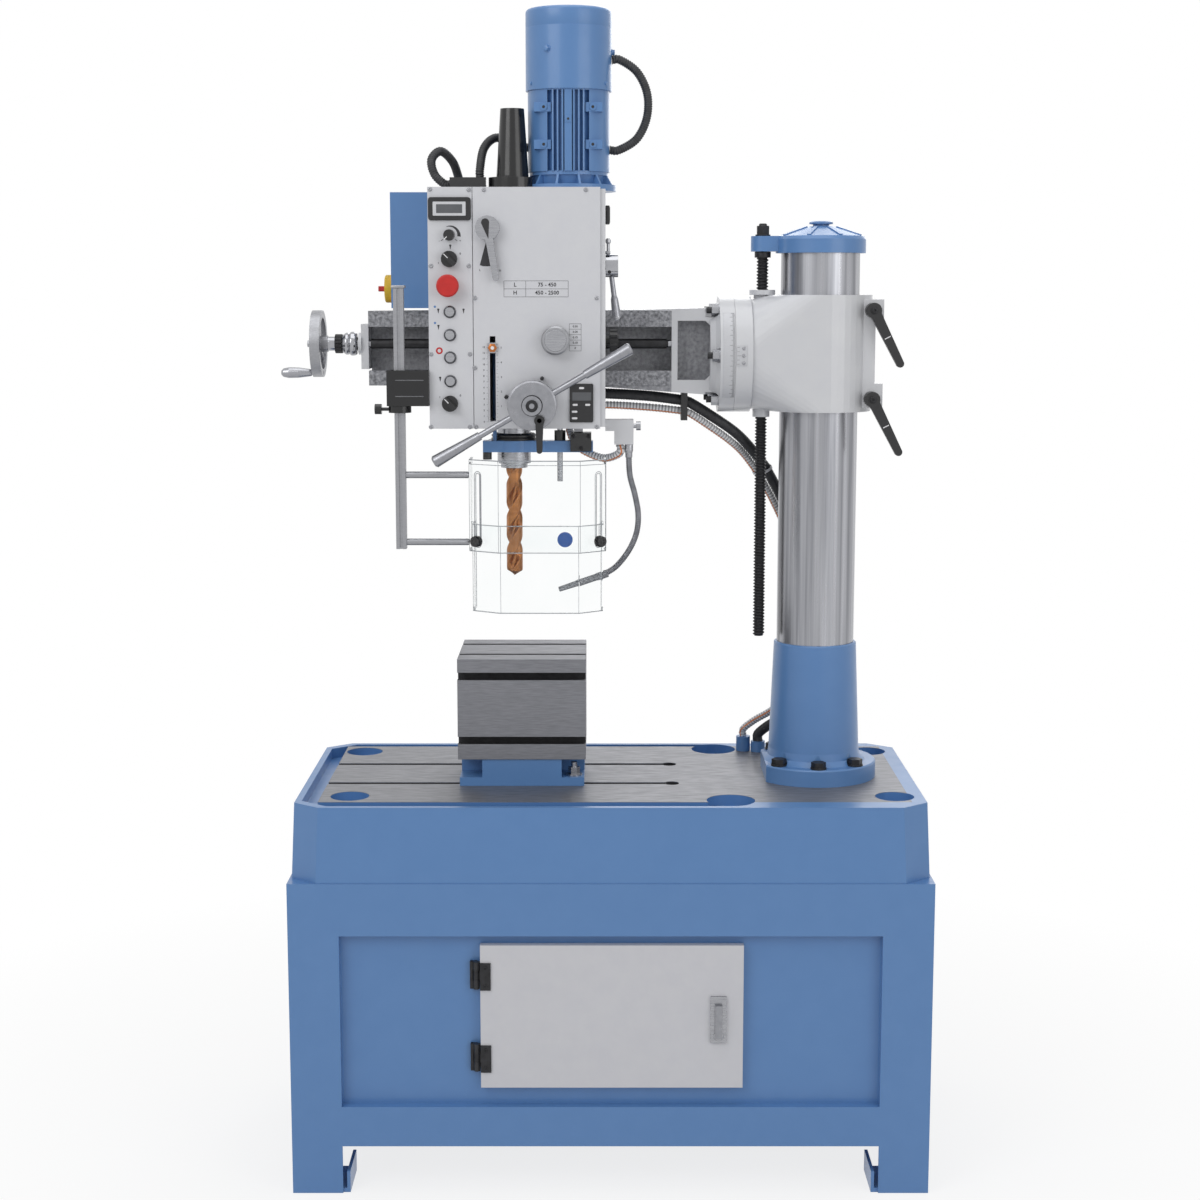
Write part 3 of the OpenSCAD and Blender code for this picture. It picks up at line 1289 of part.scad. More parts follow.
module spindle_gear() color(steel) translate([spindle_x, spindle_y, head_z0]) difference() {
    union() {
        translate([0, 0, gear_z[0]]) rotate([0, 0, mesh_angle]) linear_extrude(gear_z[1] - gear_z[0])
            polygon(gear_points(gear_m, gear_n, gear_play));
        zrod([0, 0, shelf_z[0]], gear_hub_r, gear_z[0] - shelf_z[0] + ov);
        zrod([0, 0, shelf_z[1] + gap], gear_hub_r + sleeve_wall, gear_z[0] - shelf_z[1]);
    }
    translate([0, 0, shelf_z[0] - ov]) linear_extrude(gear_z[1] - shelf_z[0] + 2 * ov)
        spline(spline_r + spline_gap, spline_tip + spline_gap, spline_t + 2 * spline_gap);
}

module spindle_cap() color(black) translate([spindle_x, spindle_y, head_z1]) difference() {
    zturn([0, 0, 0], [[0, 0], [cap_base[0], 0], [cap_base[0], cap_base[1]], [cap_taper[0], cap_base[1]],
        [cap_taper[0], cap_taper[1]], [cap_taper[2], cap_taper[3]], [0, cap_taper[3]]]);
    zrod([0, 0, -ov], cap_bore[0] - slack, cap_bore[1] + ov);
    zrod([motor_x - spindle_x, motor_y - spindle_y, -ov], motor_flange[0] + gap, cap_base[1] + ov);
}

module spindle() color(steel) translate([spindle_x, spindle_y, 0]) difference() {
    union() {
        zrod([0, 0, quill_z[0]], spindle_r, quill_z[1] - quill_z[0]);
        translate([0, 0, quill_z[1] - ov]) linear_extrude(spindle_top - quill_z[1] + ov)
            spline(spline_r, spline_tip, spline_t);
        zrod([0, 0, drill_z1], nose[0], nose[1] - gap);
        zrod([0, 0, drill_z1], spindle_r, nose[1] + ov);
    }
    zbore([0, 0, drill_z1], socket_r + run, socket_h);
}

module quill() color(steel) difference() {
    zrod([spindle_x, spindle_y, quill_z[0]], quill_r, quill_z[1] - quill_z[0]);
    zbore([spindle_x, spindle_y, quill_z[0]], spindle_r + run, quill_z[1] - quill_z[0]);
    pitch = PI * rack_m;
    tip = spindle_x + rack_line + rack_m;
    slab([tip, spindle_y - quill_r, hub_z - rack_below * pitch],
         [spindle_x + 2 * quill_r, spindle_y + quill_r, hub_z + rack_above * pitch]);
    yplate(spindle_y - quill_r, spindle_y + quill_r) for (i = [1 - rack_below : rack_above - 1])
        translate([spindle_x + rack_line, hub_z + i * pitch]) polygon([
            [-root_share * rack_m, -pitch / 4 - rack_play + root_share * rack_m * tan(pressure)],
            [rack_m + ov, -pitch / 4 - rack_play - (rack_m + ov) * tan(pressure)],
            [rack_m + ov, pitch / 4 + rack_play + (rack_m + ov) * tan(pressure)],
            [-root_share * rack_m, pitch / 4 + rack_play - root_share * rack_m * tan(pressure)]]);
}

module depth_bracket() color(blue) {
    difference() {
        union() {
            slab(bar[0], bar[1]);
            zrod([spindle_x, spindle_y, bar_z[0]], bar_ring_r, bar_z[1] - bar_z[0]);
            slab(sensor[0], sensor[1]);
            slab(reader[0], reader[1]);
            zrod([pointer_at[0], pointer_at[1], bar_z[0]], pointer_r, pointer_z - bar_z[0]);
            yrod([pointer_at[0], pointer_at[1], pointer_z], pointer_r, pointer_at[1] - panel_y + pointer_out);
            yblock(panel_y - pointer_out, panel_y - pointer_out + pointer_plate[2], [pointer_at[0], pointer_z],
                   pointer_plate[0], pointer_plate[1]);
            zrod([knob_under[0], knob_under[1], bar_z[0] - knob_under[3]], knob_under[2], knob_under[3] + ov);
        }
        zbore([spindle_x, spindle_y, bar_z[0]], quill_r + bar_fit, bar_z[1] - bar_z[0]);
        zbore([stop_at[0], stop_at[1], bar_z[0]], stop_r + bar_fit, bar_z[1] - bar_z[0]);
    }
    zrod([stop_at[0], stop_at[1], stop_z[0]], stop_r, stop_z[1] - stop_z[0]);
    zrod([stop_at[0], stop_at[1], bar_z[1]], stop_knob[0], stop_knob[1]);
}

module twist_drill() color(copper) translate([spindle_x, spindle_y, 0]) {
    r = drill_d / 2;
    low = drill_z1 - drill_len;
    side = [for (s = drill_shares) polar(r * s[0], s[1])];
    intersection() {
        translate([0, 0, low])
            linear_extrude(drill_len, twist = -360 * drill_len / drill_pitch, slices = drill_slices)
                polygon(concat(side, -side));
        union() {
            translate([0, 0, low]) cylinder(r1 = drill_web / 2, r2 = r + ov, h = drill_tip);
            zrod([0, 0, low + drill_tip - ov], r + ov, drill_len);
        }
    }
    zrod([0, 0, drill_z1 - ov], socket_r, socket_h);
}

// controls

module feed_hub() color(steel) {
    at = [hub_x, panel_y, hub_z];
    yturn(at, hub_profile);
    yrod([hub_x, head_y[1] - head_t + slack, hub_z], feed_shaft_r, head_y[1] - head_t + slack - panel_y + ov);
    yplate(spindle_y - pinion_half, spindle_y + pinion_half) translate([hub_x, hub_z]) rotate(180)
        polygon(gear_points(rack_m, rack_n, rack_play));
    for (a = lever_angles) translate([hub_x, panel_y - lever_y, hub_z]) rotate([0, -a, 0]) xturn([0, 0, 0], [
        [0, lever_rod[1]], lever_rod, [lever_rod[0], lever_grip[2]], [lever_grip[0], lever_grip[2]],
        [lever_grip[1], lever_len - lever_end], [lever_grip[1] - lever_end, lever_len], [0, lever_len]]);
}

// lever with a hub, a tapered handle down to its tip and a pin behind
module hand_lever(at, y, hub, tip, grip, pin, pin_len) translate([at[0], y, at[1]]) {
    yrod([0, 0, 0], hub[0], hub[1]);
    if (pin > 0) yrod([0, pin_len, 0], pin, pin_len + ov);
    hull() {
        yrod([0, grip[2] - hub[1], 0], grip[0], grip[2], $fn = 32);
        yrod([tip[0], grip[2] - hub[1], tip[1]], grip[1], grip[2], $fn = 32);
    }
}

module clutch_lever() color(black)
    hand_lever(clutch_at, panel_y - clutch_y - gap, clutch_hub, clutch_tip, clutch_grip, 0, 0);
module gear_lever() color(black)
    hand_lever(gear_at, panel_y - gap, gear_hub, gear_tip, gear_grip, gear_pin, panel_t + inset);

module feed_knob() color(alu) {
    yturn([feed_at[0], panel_y, feed_at[1]], feed_profile);
    panel_pin(feed_at, feed_pin, ov);
}

module emergency_stop() color(red) {
    yturn([estop_at[0], panel_y - estop_gap, estop_at[1]], estop_profile);
    panel_pin(estop_at, estop_pin, estop_gap + ov);
}

module push_button(z) color(steel) panel_pin([push_x, z], push_r, push_out);
module push_button_a() push_button(push_z[0]);
module push_button_b() push_button(push_z[1]);
module push_button_c() push_button(push_z[2]);
module push_button_d() push_button(push_z[3]);

module speed_knob() color(black) {
    yturn([pot_at[0], panel_y, pot_at[1]], pot_profile);
    panel_pin(pot_at, pot_pin, ov);
}

module selector(at) color(black) translate([at[0], 0, at[1]]) {
    yrod([0, panel_y - gap, 0], dial_base[0], dial_base[1]);
    panel_pin([0, 0], dial_pin, ov);
    rotate([0, 45, 0]) yblock(panel_y - dial_bar[2], panel_y - dial_base[1], [0, 0], dial_bar[0], dial_bar[1]);
}
module upper_selector() selector(upper_at);
module lower_selector() selector(lower_at);

module side_lever() color(steel) translate([0, side_at[0], side_at[1]]) {
    xrod([head_x1 + gap, 0, 0], side_hub[0], side_hub[1]);
    xrod([head_x1 - head_t, 0, 0], side_pin, head_t + slack);
    hull() {
        zrod([head_x1 + side_hub[1] / 2, 0, -side_hub[0]], side_rod[0], ov, $fn = 32);
        zrod([head_x1 + side_hub[1] / 2 + side_tip[0], 0, side_tip[1]], side_rod[0], ov, $fn = 32);
    }
    translate([head_x1 + side_hub[1] / 2 + side_tip[0], 0, side_tip[1]]) sphere(r = side_rod[1]);
}

module star_knob() color(black) translate([head_x1, star_at[0], star_at[1]]) {
    xrod([-head_t, 0, 0], star_pin, head_t + gap + ov);
    xrod([gap, 0, 0], star_neck[0], star_neck[1]);
    translate([star_neck[1], 0, 0]) rotate([0, right_angle, 0]) linear_extrude(star_body[1]) {
        circle(star_body[0]);
        for (i = [0 : star_lobes - 1])
            rotate(360 * i / star_lobes) translate([star_body[0], 0]) circle(star_lobe_r);
    }
    xrod([star_neck[1] + star_body[1] - ov, 0, 0], star_top[0], star_top[1] + ov);
}

// guard

module guard_bracket() color(black) difference() {
    slab(holder[0], holder[1]);
    slab([panel_x[0] - gap, holder[0][1] - ov, holder[0][2] - ov],
         [head_x0 + ov, head_y[0] + gap, holder[1][2] + ov]);
    zbore([post_x, post_y, holder[0][2]], turret_r + run, holder[1][2] - holder[0][2]);
}

// square bar on the post's axis
module post_bar(w, z0, z1) slab([post_x - w / 2, post_y - w / 2, z0], [post_x + w / 2, post_y + w / 2, z1]);

module guard_turret() color(black) difference() {
    low = holder[0][2] - gap - turret_ring[1];
    side = post_x - turret_ring[0] - thumb[1];
    mid = low + turret_ring[1] / 2;
    union() {
        zrod([post_x, post_y, low], turret_r, turret_top - low);
        zrod([post_x, post_y, low], turret_ring[0], turret_ring[1]);
        xrod([side, post_y, mid], thumb[0], thumb[1] + turret_ring[0] / 2);
        xrod([side - thumb[3], post_y, mid], thumb[2], thumb[3]);
    }
    post_bar(post_w + 2 * post_play, low - ov, turret_top + ov);
}

module guard_post() color(alu) {
    post_bar(post_w, post_z[0], post_z[1]);
    post_bar(post_cap[0], post_z[1], post_z[1] + post_cap[1]);
    for (z = tube_z) xrod([post_x, post_y, z], tube_r, shield_x[0] - post_x);
}

// plan of a shield: line of the bent sheet moved inward
function shield_line(o) = [
    [shield_x[0] + o, shield_y[2]], [shield_x[0] + o, shield_y[1] + o / 2],
    [shield_x[1] + o / 3, shield_y[0] + o], [shield_x[2] - o / 3, shield_y[0] + o],
    [shield_x[3] - o, shield_y[1] + o / 2], [shield_x[3] - o, shield_y[2]]];
function flip(p) = [for (i = [len(p) - 1 : -1 : 0]) p[i]];
module shield(o, z0, h) translate([0, 0, z0]) linear_extrude(h)
    polygon(concat(shield_line(o), flip(shield_line(o + shield_t))));
function wing(s) = s < 0 ? [shield_line(0)[1], shield_line(0)[2]] : [shield_line(0)[4], shield_line(0)[3]];
function wing_at(s) = wing(s)[0] + slot_share * (wing(s)[1] - wing(s)[0]);
function wing_turn(s) = let (d = wing(s)[1] - wing(s)[0]) atan2(d[1], d[0]) + (s < 0 ? 0 : 180);

module upper_shield() color(clear) difference() {
    shield(0, shield_top - shield_h, shield_h);
    for (s = [-1, 1]) translate([wing_at(s)[0], wing_at(s)[1], 0]) rotate([0, 0, wing_turn(s)])
        slab([-slot_mouth / 2, -2 * shield_t, slot_z[0]], [slot_mouth / 2, 2 * shield_t, slot_z[1]]);
}

module lower_shield() color(clear) {
    shield(shield_t + lower_gap, shield_top - shield_h - lower_drop, lower_h);
    for (s = [-1, 1]) translate([wing_at(s)[0], wing_at(s)[1], guard_knob_z]) rotate([0, 0, wing_turn(s)]) {
        yrod([0, 2 * shield_t, 0], guard_knob[0], 2 * shield_t + slack);
        yrod([0, -gap, 0], guard_knob[1], guard_knob[2]);
    }
}

// coolant line and cables

module coolant_bracket() color(dark) difference() {
    union() {
        slab(elbow[0], elbow[1]);
        slab(elbow_leg[0], elbow_leg[1]);
    }
    xrod([elbow[1][0] - tap_pin_len, tap_at[0], tap_at[1]], tap_pin + run, tap_pin_len + ov);
}

module coolant_tap() color(steel) {
    xturn([elbow[1][0], tap_at[0], tap_at[1]], tap_profile);
    xrod([elbow[1][0] - tap_pin_len + slack, tap_at[0], tap_at[1]], tap_pin, tap_pin_len);
}

module coolant_line() color(dark) {
    ribbed([neck_path], neck_r, neck_bore, neck_rib_pitch);
    ribbed([short_path], short_r, short_bore, rib_pitch);
    along = nozzle[1] - nozzle[0];
    translate(nozzle[0]) rotate([0, acos(along[2] / norm(along)), atan2(along[1], along[0])])
        cylinder(r1 = nozzle_r[0], r2 = nozzle_r[1], h = norm(along));
}

module conduits() color(black) {
    for (loop = [panel_loop, motor_loop, back_loop]) cable([loop], loop_r);
}

module hose_pair(i) color(black) {
    cable(cable_row, cable_r, i);
    ribbed(hose_row, hose_r, hose_bore, rib_pitch, i);
}
module hose_reach() hose_pair(0);
module hose_bend() hose_pair(1);
module hose_drop() hose_pair(2);
module hose_tail() hose_pair(3);

cabinet();
base_plate();
column_foot();
hex_bolts();
column();
box_table();
coolant_pump();
door();
latch_handle();
column_cap();
lift_screw();
collar();
upper_clamp_lever();
lower_clamp_lever();
arm();
arm_bolts();
end_bracket();
traverse_screw();
handwheel();
crank_handle();
head_housing();
front_panel();
electrical_box();
motor_housing();
motor_cowl();
spindle_cap();
conduits();
coolant_bracket();
coolant_line();
coolant_tap();
guard_bracket();
guard_turret();
guard_post();
upper_shield();
lower_shield();
motor_rotor();
spindle_gear();
quill();
depth_bracket();
spindle();
twist_drill();
feed_hub();
clutch_lever();
gear_lever();
feed_knob();
side_lever();
star_knob();
emergency_stop();
push_button_a();
push_button_b();
push_button_c();
push_button_d();
speed_knob();
upper_selector();
lower_selector();
main_switch();
hose_reach();
hose_bend();
hose_drop();
hose_tail();
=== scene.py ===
# %% [markdown]
# # A radial arm drill, dressed for the camera
#
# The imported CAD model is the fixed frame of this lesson: every solid is already in its place, in metres,
# with +X to the operator's right, +Y away from the operator and +Z up. Blender adds what a drawing office
# leaves out: paint and ground steel, threads, hoses that bend, printed scales, screws and clear plastic.
# Pieces are typed in millimetres, as in the drawing, and one constant turns them into metres. The camera,
# the lamps and the shaders keep Blender's metres.

# %% Load the frame
import math

import bmesh
import bpy
import numpy as np
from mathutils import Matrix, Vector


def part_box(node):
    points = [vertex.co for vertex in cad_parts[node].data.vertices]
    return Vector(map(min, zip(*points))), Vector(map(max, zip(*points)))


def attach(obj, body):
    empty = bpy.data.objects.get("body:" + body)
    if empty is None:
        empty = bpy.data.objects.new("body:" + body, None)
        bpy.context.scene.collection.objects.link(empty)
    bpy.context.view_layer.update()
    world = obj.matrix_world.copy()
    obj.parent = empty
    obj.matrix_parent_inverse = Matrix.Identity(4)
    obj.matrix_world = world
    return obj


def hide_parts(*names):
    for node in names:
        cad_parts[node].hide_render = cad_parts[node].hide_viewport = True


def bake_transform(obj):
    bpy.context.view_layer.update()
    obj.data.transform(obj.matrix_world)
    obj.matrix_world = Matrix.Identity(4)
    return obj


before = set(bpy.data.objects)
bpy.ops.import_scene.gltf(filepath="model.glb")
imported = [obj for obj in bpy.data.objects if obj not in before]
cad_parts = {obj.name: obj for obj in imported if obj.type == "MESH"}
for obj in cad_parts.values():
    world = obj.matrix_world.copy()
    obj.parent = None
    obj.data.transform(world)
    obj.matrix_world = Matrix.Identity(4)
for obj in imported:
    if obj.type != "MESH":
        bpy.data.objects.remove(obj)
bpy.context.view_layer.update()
MM = 0.001

# %% [markdown]
# ## The camera
#
# The picture was taken from a little above the middle of the machine, about four metres away, and tipped
# down by 8.4 degrees. A 63 mm lens on a 36 mm sensor gives the same perspective on a square picture.

# %% Camera
TIPPED_DOWN = 8.4
camera_data = bpy.data.cameras.new("shop_camera")
camera_data.lens = 63.0
camera_data.sensor_width = 36.0
camera = bpy.data.objects.new("shop_camera", camera_data)
camera.location = (-0.0195, -3.930, 1.638)
camera.rotation_euler = (math.radians(90 - TIPPED_DOWN), 0, 0)
bpy.context.collection.objects.link(camera)
bpy.context.scene.camera = camera
bpy.context.scene.view_settings.view_transform = "Standard"
print("camera at", tuple(camera.location))

# %% [markdown]
# ## Surfaces from arrays
#
# Nearly every new piece is one of four shapes: a profile turned round an axis, a circle carried along a
# route, a plate with eased edges, or a box with rounded edges. Each is worked out as a whole grid of
# points, and neighbours in the grid are joined into quads. A part is a pair: its points and its faces.

# %% Directions and grids
FRONT, UP, DOWN, RIGHT, LEFT = (0, -1, 0), (0, 0, 1), (0, 0, -1), (1, 0, 0), (-1, 0, 0)


def unit(v):
    """Each vector divided by its own length."""
    v = np.asarray(v, float)
    return v / np.linalg.norm(v, axis=-1, keepdims=True)


def axes_of(axis):
    """The axis as a unit vector, and two more that are square to it and to each other."""
    a = unit(axis)
    side = np.array([0.0, 0.0, 1.0]) if abs(a[2]) < 0.9 else np.array([1.0, 0.0, 0.0])
    u = unit(np.cross(side, a))
    return a, u, np.cross(a, u)


def angles(count):
    """Even steps round a full turn, in radians."""
    return np.linspace(0, 2 * np.pi, count, endpoint=False)


def spokes(t, u, w):
    """The direction at each angle in the plane of two axes: cosine along the first, sine along the second."""
    return np.cos(t)[:, None] * u + np.sin(t)[:, None] * w


def grid_part(points, wrap=True, caps=True):
    """A grid (row, column, xyz) as quads between neighbours; columns may close, with a cap at each end."""
    rows, cols = points.shape[:2]
    i, k = np.meshgrid(np.arange(rows - 1), np.arange(cols if wrap else cols - 1), indexing="ij")
    n = (k + 1) % cols
    quads = np.stack([i * cols + k, i * cols + n, (i + 1) * cols + n, (i + 1) * cols + k], -1)
    faces = quads.reshape(-1, 4).tolist()
    if wrap and caps:
        faces += [list(range(cols))[::-1], list(range((rows - 1) * cols, rows * cols))]
    return points.reshape(-1, 3), faces


print("grid helpers ready")

# %% Turned shapes
# The middle of a turned end keeps this small radius, and a curve takes at most this share of a side.
POLE, EASE_SHARE = 0.01, 0.45
# A bolt head's chamfer: where it starts and ends, as shares of the flats, and its slope.
CHAMFER_FROM, CHAMFER_TO, CHAMFER_SLOPE = 0.48, 0.47, 0.55


def eased(profile, reach, steps=4):
    """Rounds a profile: each inner corner becomes a parabola that starts and ends on its two sides."""
    p = np.asarray(profile, float)
    t = np.linspace(0, 1, steps)[:, None]
    out = [p[0]]
    for before, corner, after in zip(p[:-2], p[1:-1], p[2:]):
        sides = [(q - corner, np.linalg.norm(q - corner)) for q in (before, after)]
        start, stop = (corner + d * (min(reach, EASE_SHARE * far) / max(far, 1e-9)) for d, far in sides)
        out.extend((1 - t) ** 2 * start + 2 * t * (1 - t) * corner + t**2 * stop)
    return np.array(out + [p[-1]])


def turned(profile, base, axis, count=48, ease=0.0, swell=None, caps=True):
    """A lathe shape: each (radius, height) is a circle round the axis; swell(angle) scales its radius."""
    p = eased(profile, ease) if ease else np.asarray(profile, float)
    a, u, w = axes_of(axis)
    t = angles(count)
    circle = spokes(t, u, w) * (1 if swell is None else swell(t)[:, None])
    rise, reach = p[:, 1, None, None], np.maximum(p[:, 0], POLE)[:, None, None]
    return grid_part(np.asarray(base, float) + rise * a + reach * circle, caps=caps)


def disc(radius, height, base, axis, count=24):
    """A short plain cylinder."""
    return turned([(0, 0), (radius, 0), (radius, height), (0, height)], base, axis, count)


def ring(profile, base, axis, count=48):
    """A turned ring: its profile of (radius, height) closes on itself, clear of the axis."""
    return turned([*profile, profile[0]], base, axis, count, caps=False)


def hex_head(base, axis, across, height, steps=48):
    """A bolt head: half the flats over the cosine of the angle to the nearest flat; a cone trims its top."""
    a, u, w = axes_of(axis)
    t = angles(steps)
    r = across / 2 / np.cos(t % (np.pi / 3) - np.pi / 6)
    top = height - CHAMFER_SLOPE * np.maximum(r - CHAMFER_FROM * across, 0)
    rows = [(r, 0 * t), (r, top), (np.minimum(r, CHAMFER_TO * across), np.full(steps, height))]
    levels = [np.asarray(base, float) + h[:, None] * a + q[:, None] * spokes(t, u, w) for q, h in rows]
    return grid_part(np.stack(levels))


def cap_screw(base, axis, radius=3.4):
    """A socket screw on its washer: steps of a turned profile, with the socket as the last step down."""
    washer, head = [(0, 0), (1.45, 0), (1.45, 0.2), (1, 0.24)], [(1, 0.8), (0.85, 0.95), (0.5, 0.95)]
    return turned(np.array([*washer, *head, (0.45, 0.45), (0, 0.45)]) * radius, base, axis, 20)


print("turned shapes ready")


# %% Swept routes
def smooth_route(points, steps=10):
    """A curve through given points: cubics whose slope at each point is the chord of its neighbours."""
    p = np.asarray(points, float)
    p = np.vstack([2 * p[0] - p[1], p, 2 * p[-1] - p[-2]])
    t = np.linspace(0, 1, steps, endpoint=False)[:, None]
    a, b, c, d = (p[i : len(p) - 3 + i, None] for i in range(4))
    square, cube = (2 * a - 5 * b + 4 * c - d) * t**2, (3 * b - a - 3 * c + d) * t**3
    return np.vstack([(0.5 * (2 * b + (c - a) * t + square + cube)).reshape(-1, 3), p[-2]])


def along(route, spacing):
    """The same route with points an even distance apart, and the distance of each from the start."""
    far = np.concatenate([[0], np.cumsum(np.linalg.norm(np.diff(route, axis=0), axis=1))])
    s = np.linspace(0, far[-1], max(3, int(far[-1] / spacing) + 1))
    return np.stack([np.interp(s, far, route[:, i]) for i in range(3)], -1), s


def swept(route, radius, sides=16, spacing=1.0, side=(0.31, 0.9, 0.27)):
    """A tube: at distance s along the route, a circle of radius(s, angle) lies square to the route."""
    p, s = along(np.asarray(route, float), spacing)
    tangent = unit(np.gradient(p, axis=0))
    u = unit(np.cross(tangent, np.asarray(side)))
    w = np.cross(tangent, u)
    t = angles(sides)
    r = radius(s[:, None], t[None, :]) * np.ones((len(s), sides))
    circle = np.cos(t)[None, :, None] * u[:, None] + np.sin(t)[None, :, None] * w[:, None]
    return grid_part(p[:, None] + r[..., None] * circle)


print("swept routes ready")


# %% Plates, boxes and blocks
def plate(outline, base, axis, up, thick, ease=0.6):
    """A flat plate: a convex outline (x, y) on a base point rises along an axis; its rim is eased over."""
    a, w = unit(axis), unit(up)
    u = np.cross(w, a)
    o = np.asarray(outline, float)
    small = o - ease * unit(o - o.mean(0))
    rows = [(o, 0.0), (o, thick - ease), (small + 0.3 * (o - small), thick - 0.3 * ease), (small, thick)]
    levels = [np.asarray(base, float) + q[:, :1] * u + q[:, 1:] * w + h * a for q, h in rows]
    return grid_part(np.stack(levels))


def rectangle(width, height, corner=1.0, steps=4):
    """A rectangle's outline with round corners: four quarter circles, one about each corner's own centre."""
    t = np.linspace(0, np.pi / 2, steps)
    quarter = np.stack([np.cos(t), np.sin(t)], -1)
    middle = np.array([width, height]) / 2 - corner
    turns = (((1, 1), quarter), ((-1, 1), quarter[::-1]), ((-1, -1), quarter), ((1, -1), quarter[::-1]))
    return np.vstack([np.array(sign) * (middle + corner * q) for sign, q in turns])


def rounded_box(low, high, ease=2.0, steps=4):
    """A box with round edges: directions on a sphere, scaled by the edge radius and moved out to a corner."""
    low, high = np.minimum(low, high).astype(float), np.maximum(low, high).astype(float)
    core = (high - low) / 2 - ease
    quarter, near_pole, off_axis = np.pi / 2, 1e-3, 1e-6
    lat = np.linspace(off_axis, quarter - near_pole, steps)
    lat = np.concatenate([-lat[::-1], lat])[:, None]
    turn = np.linspace(off_axis, quarter - off_axis, steps)
    lon = np.concatenate([q * quarter + turn for q in range(4)])
    d = np.stack([np.cos(lat) * np.cos(lon), np.cos(lat) * np.sin(lon), np.sin(lat) * np.ones(len(lon))], -1)
    return grid_part((low + high) / 2 + np.sign(d) * core + ease * d)


def bar(centre, a, b, c):
    """A small block from its centre and three half edges: each corner adds or takes off each of them."""
    signs = np.array([(-1, -1), (1, -1), (1, 1), (-1, 1)])
    a, b, c = (np.asarray(v, float) for v in (a, b, c))
    rows = [np.asarray(centre, float) + s * c + signs[:, :1] * a + signs[:, 1:] * b for s in (-1, 1)]
    return grid_part(np.stack(rows))


def leaning_bar(centre, lean, half_long, half_wide, half_thick):
    """A thin block that faces the operator, long in one direction of that plane and square to it."""
    return bar(centre, half_long * lean, (half_wide * lean[2], 0, -half_wide * lean[0]), (0, half_thick, 0))


print("plates, boxes and blocks ready")

# %% [markdown]
# ## From parts to a piece
#
# A piece of the machine is one mesh that may hold several parts. Points that fall together are merged,
# faces are turned outward, and shading is soft except where two faces meet at a sharp angle, as on a real
# edge. The piece then rides on a body, so it moves with it, and may stand for a solid of the drawing.

# %% Making a piece
# Points closer than this, in metres, are one point, and edges shorter than this are dropped.
MERGE, DEGENERATE = 2e-6, 1e-6


def make(name, parts, skin, body, stands_for=(), sharp=35.0):
    """One mesh from several parts in millimetres: doubles merged, faces outward, soft up to a sharp angle."""
    points, faces, start = [], [], 0
    for v, f in parts:
        points.append(v)
        faces += [[i + start for i in face] for face in f]
        start += len(v)
    mesh = bpy.data.meshes.new(name)
    mesh.from_pydata((np.vstack(points) * MM).tolist(), [], faces)
    work = bmesh.new()
    work.from_mesh(mesh)
    bmesh.ops.remove_doubles(work, verts=work.verts, dist=MERGE)
    bmesh.ops.dissolve_degenerate(work, edges=work.edges, dist=DEGENERATE)
    bmesh.ops.recalc_face_normals(work, faces=work.faces)
    work.to_mesh(mesh)
    work.free()
    mesh.shade_smooth()
    mesh.set_sharp_from_angle(angle=math.radians(sharp))
    mesh.materials.append(skin)
    obj = bpy.data.objects.new(name, mesh)
    bpy.context.collection.objects.link(obj)
    if body:
        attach(obj, body)
    if stands_for:
        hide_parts(*stands_for)
    return obj


def box_mm(node):
    """A node's lowest and highest corner in millimetres."""
    return [np.array(corner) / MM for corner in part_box(node)]


print("make() ready")

# %% [markdown]
# ## Finishes
#
# A finish is a material for one real surface. What several finishes share, such as the orange peel of
# sprayed enamel or the lines that a grinding wheel leaves, is a node group, built once. Every pattern reads
# Object coordinates, so it stays on the piece when the machine moves.


# %% Node helpers
def feed(tree, value, socket):
    """Gives a socket a value, or a link when the value is another socket."""
    if isinstance(value, bpy.types.NodeSocket):
        tree.links.new(value, socket)
    else:
        socket.default_value = value


def put(tree, kind, props=None, **inputs):
    """Adds a node; an input is named by its label, or by its number after an underscore."""
    node = tree.nodes.new(kind)
    for key, value in (props or {}).items():
        setattr(node, key, value)
    for key, value in inputs.items():
        feed(tree, value, node.inputs[int(key[1:])] if key[0] == "_" else node.inputs[key.replace("_", " ")])
    return node


def calc(tree, operation, a, b=None, kind="ShaderNodeMath"):
    """The result of a Math node with one or two inputs."""
    given = {"_0": a} if b is None else {"_0": a, "_1": b}
    return put(tree, kind, {"operation": operation}, **given).outputs[0]


def calc_vector(tree, operation, a, b=None):
    """The same for a Vector Math node."""
    return calc(tree, operation, a, b, "ShaderNodeVectorMath")


def mixed(tree, mask, a, b, kind="RGBA"):
    """Blend of two sockets or values by a mask."""
    node = put(tree, "ShaderNodeMix", {"data_type": kind})
    first, result = {"FLOAT": (2, 0), "RGBA": (6, 2)}[kind]
    for slot, value in ((0, mask), (first, a), (first + 1, b)):
        feed(tree, value, node.inputs[slot])
    return node.outputs[result]


def new_material(name):
    """A fresh material with its node tree and its Principled shader."""
    mat = bpy.data.materials.new(name)
    mat.use_nodes = True
    return mat, mat.node_tree, mat.node_tree.nodes["Principled BSDF"]


print("node helpers ready")

# %% Shared groups
VECTOR, VALUE = "NodeSocketVector", "NodeSocketFloat"


def new_group(name, ins, outs):
    """An empty shader group with named sockets."""
    tree = bpy.data.node_groups.new(name, "ShaderNodeTree")
    for side, sockets in (("INPUT", ins), ("OUTPUT", outs)):
        for label, kind in sockets:
            tree.interface.new_socket(label, in_out=side, socket_type=kind)
    return tree, tree.nodes.new("NodeGroupInput").outputs, tree.nodes.new("NodeGroupOutput").inputs


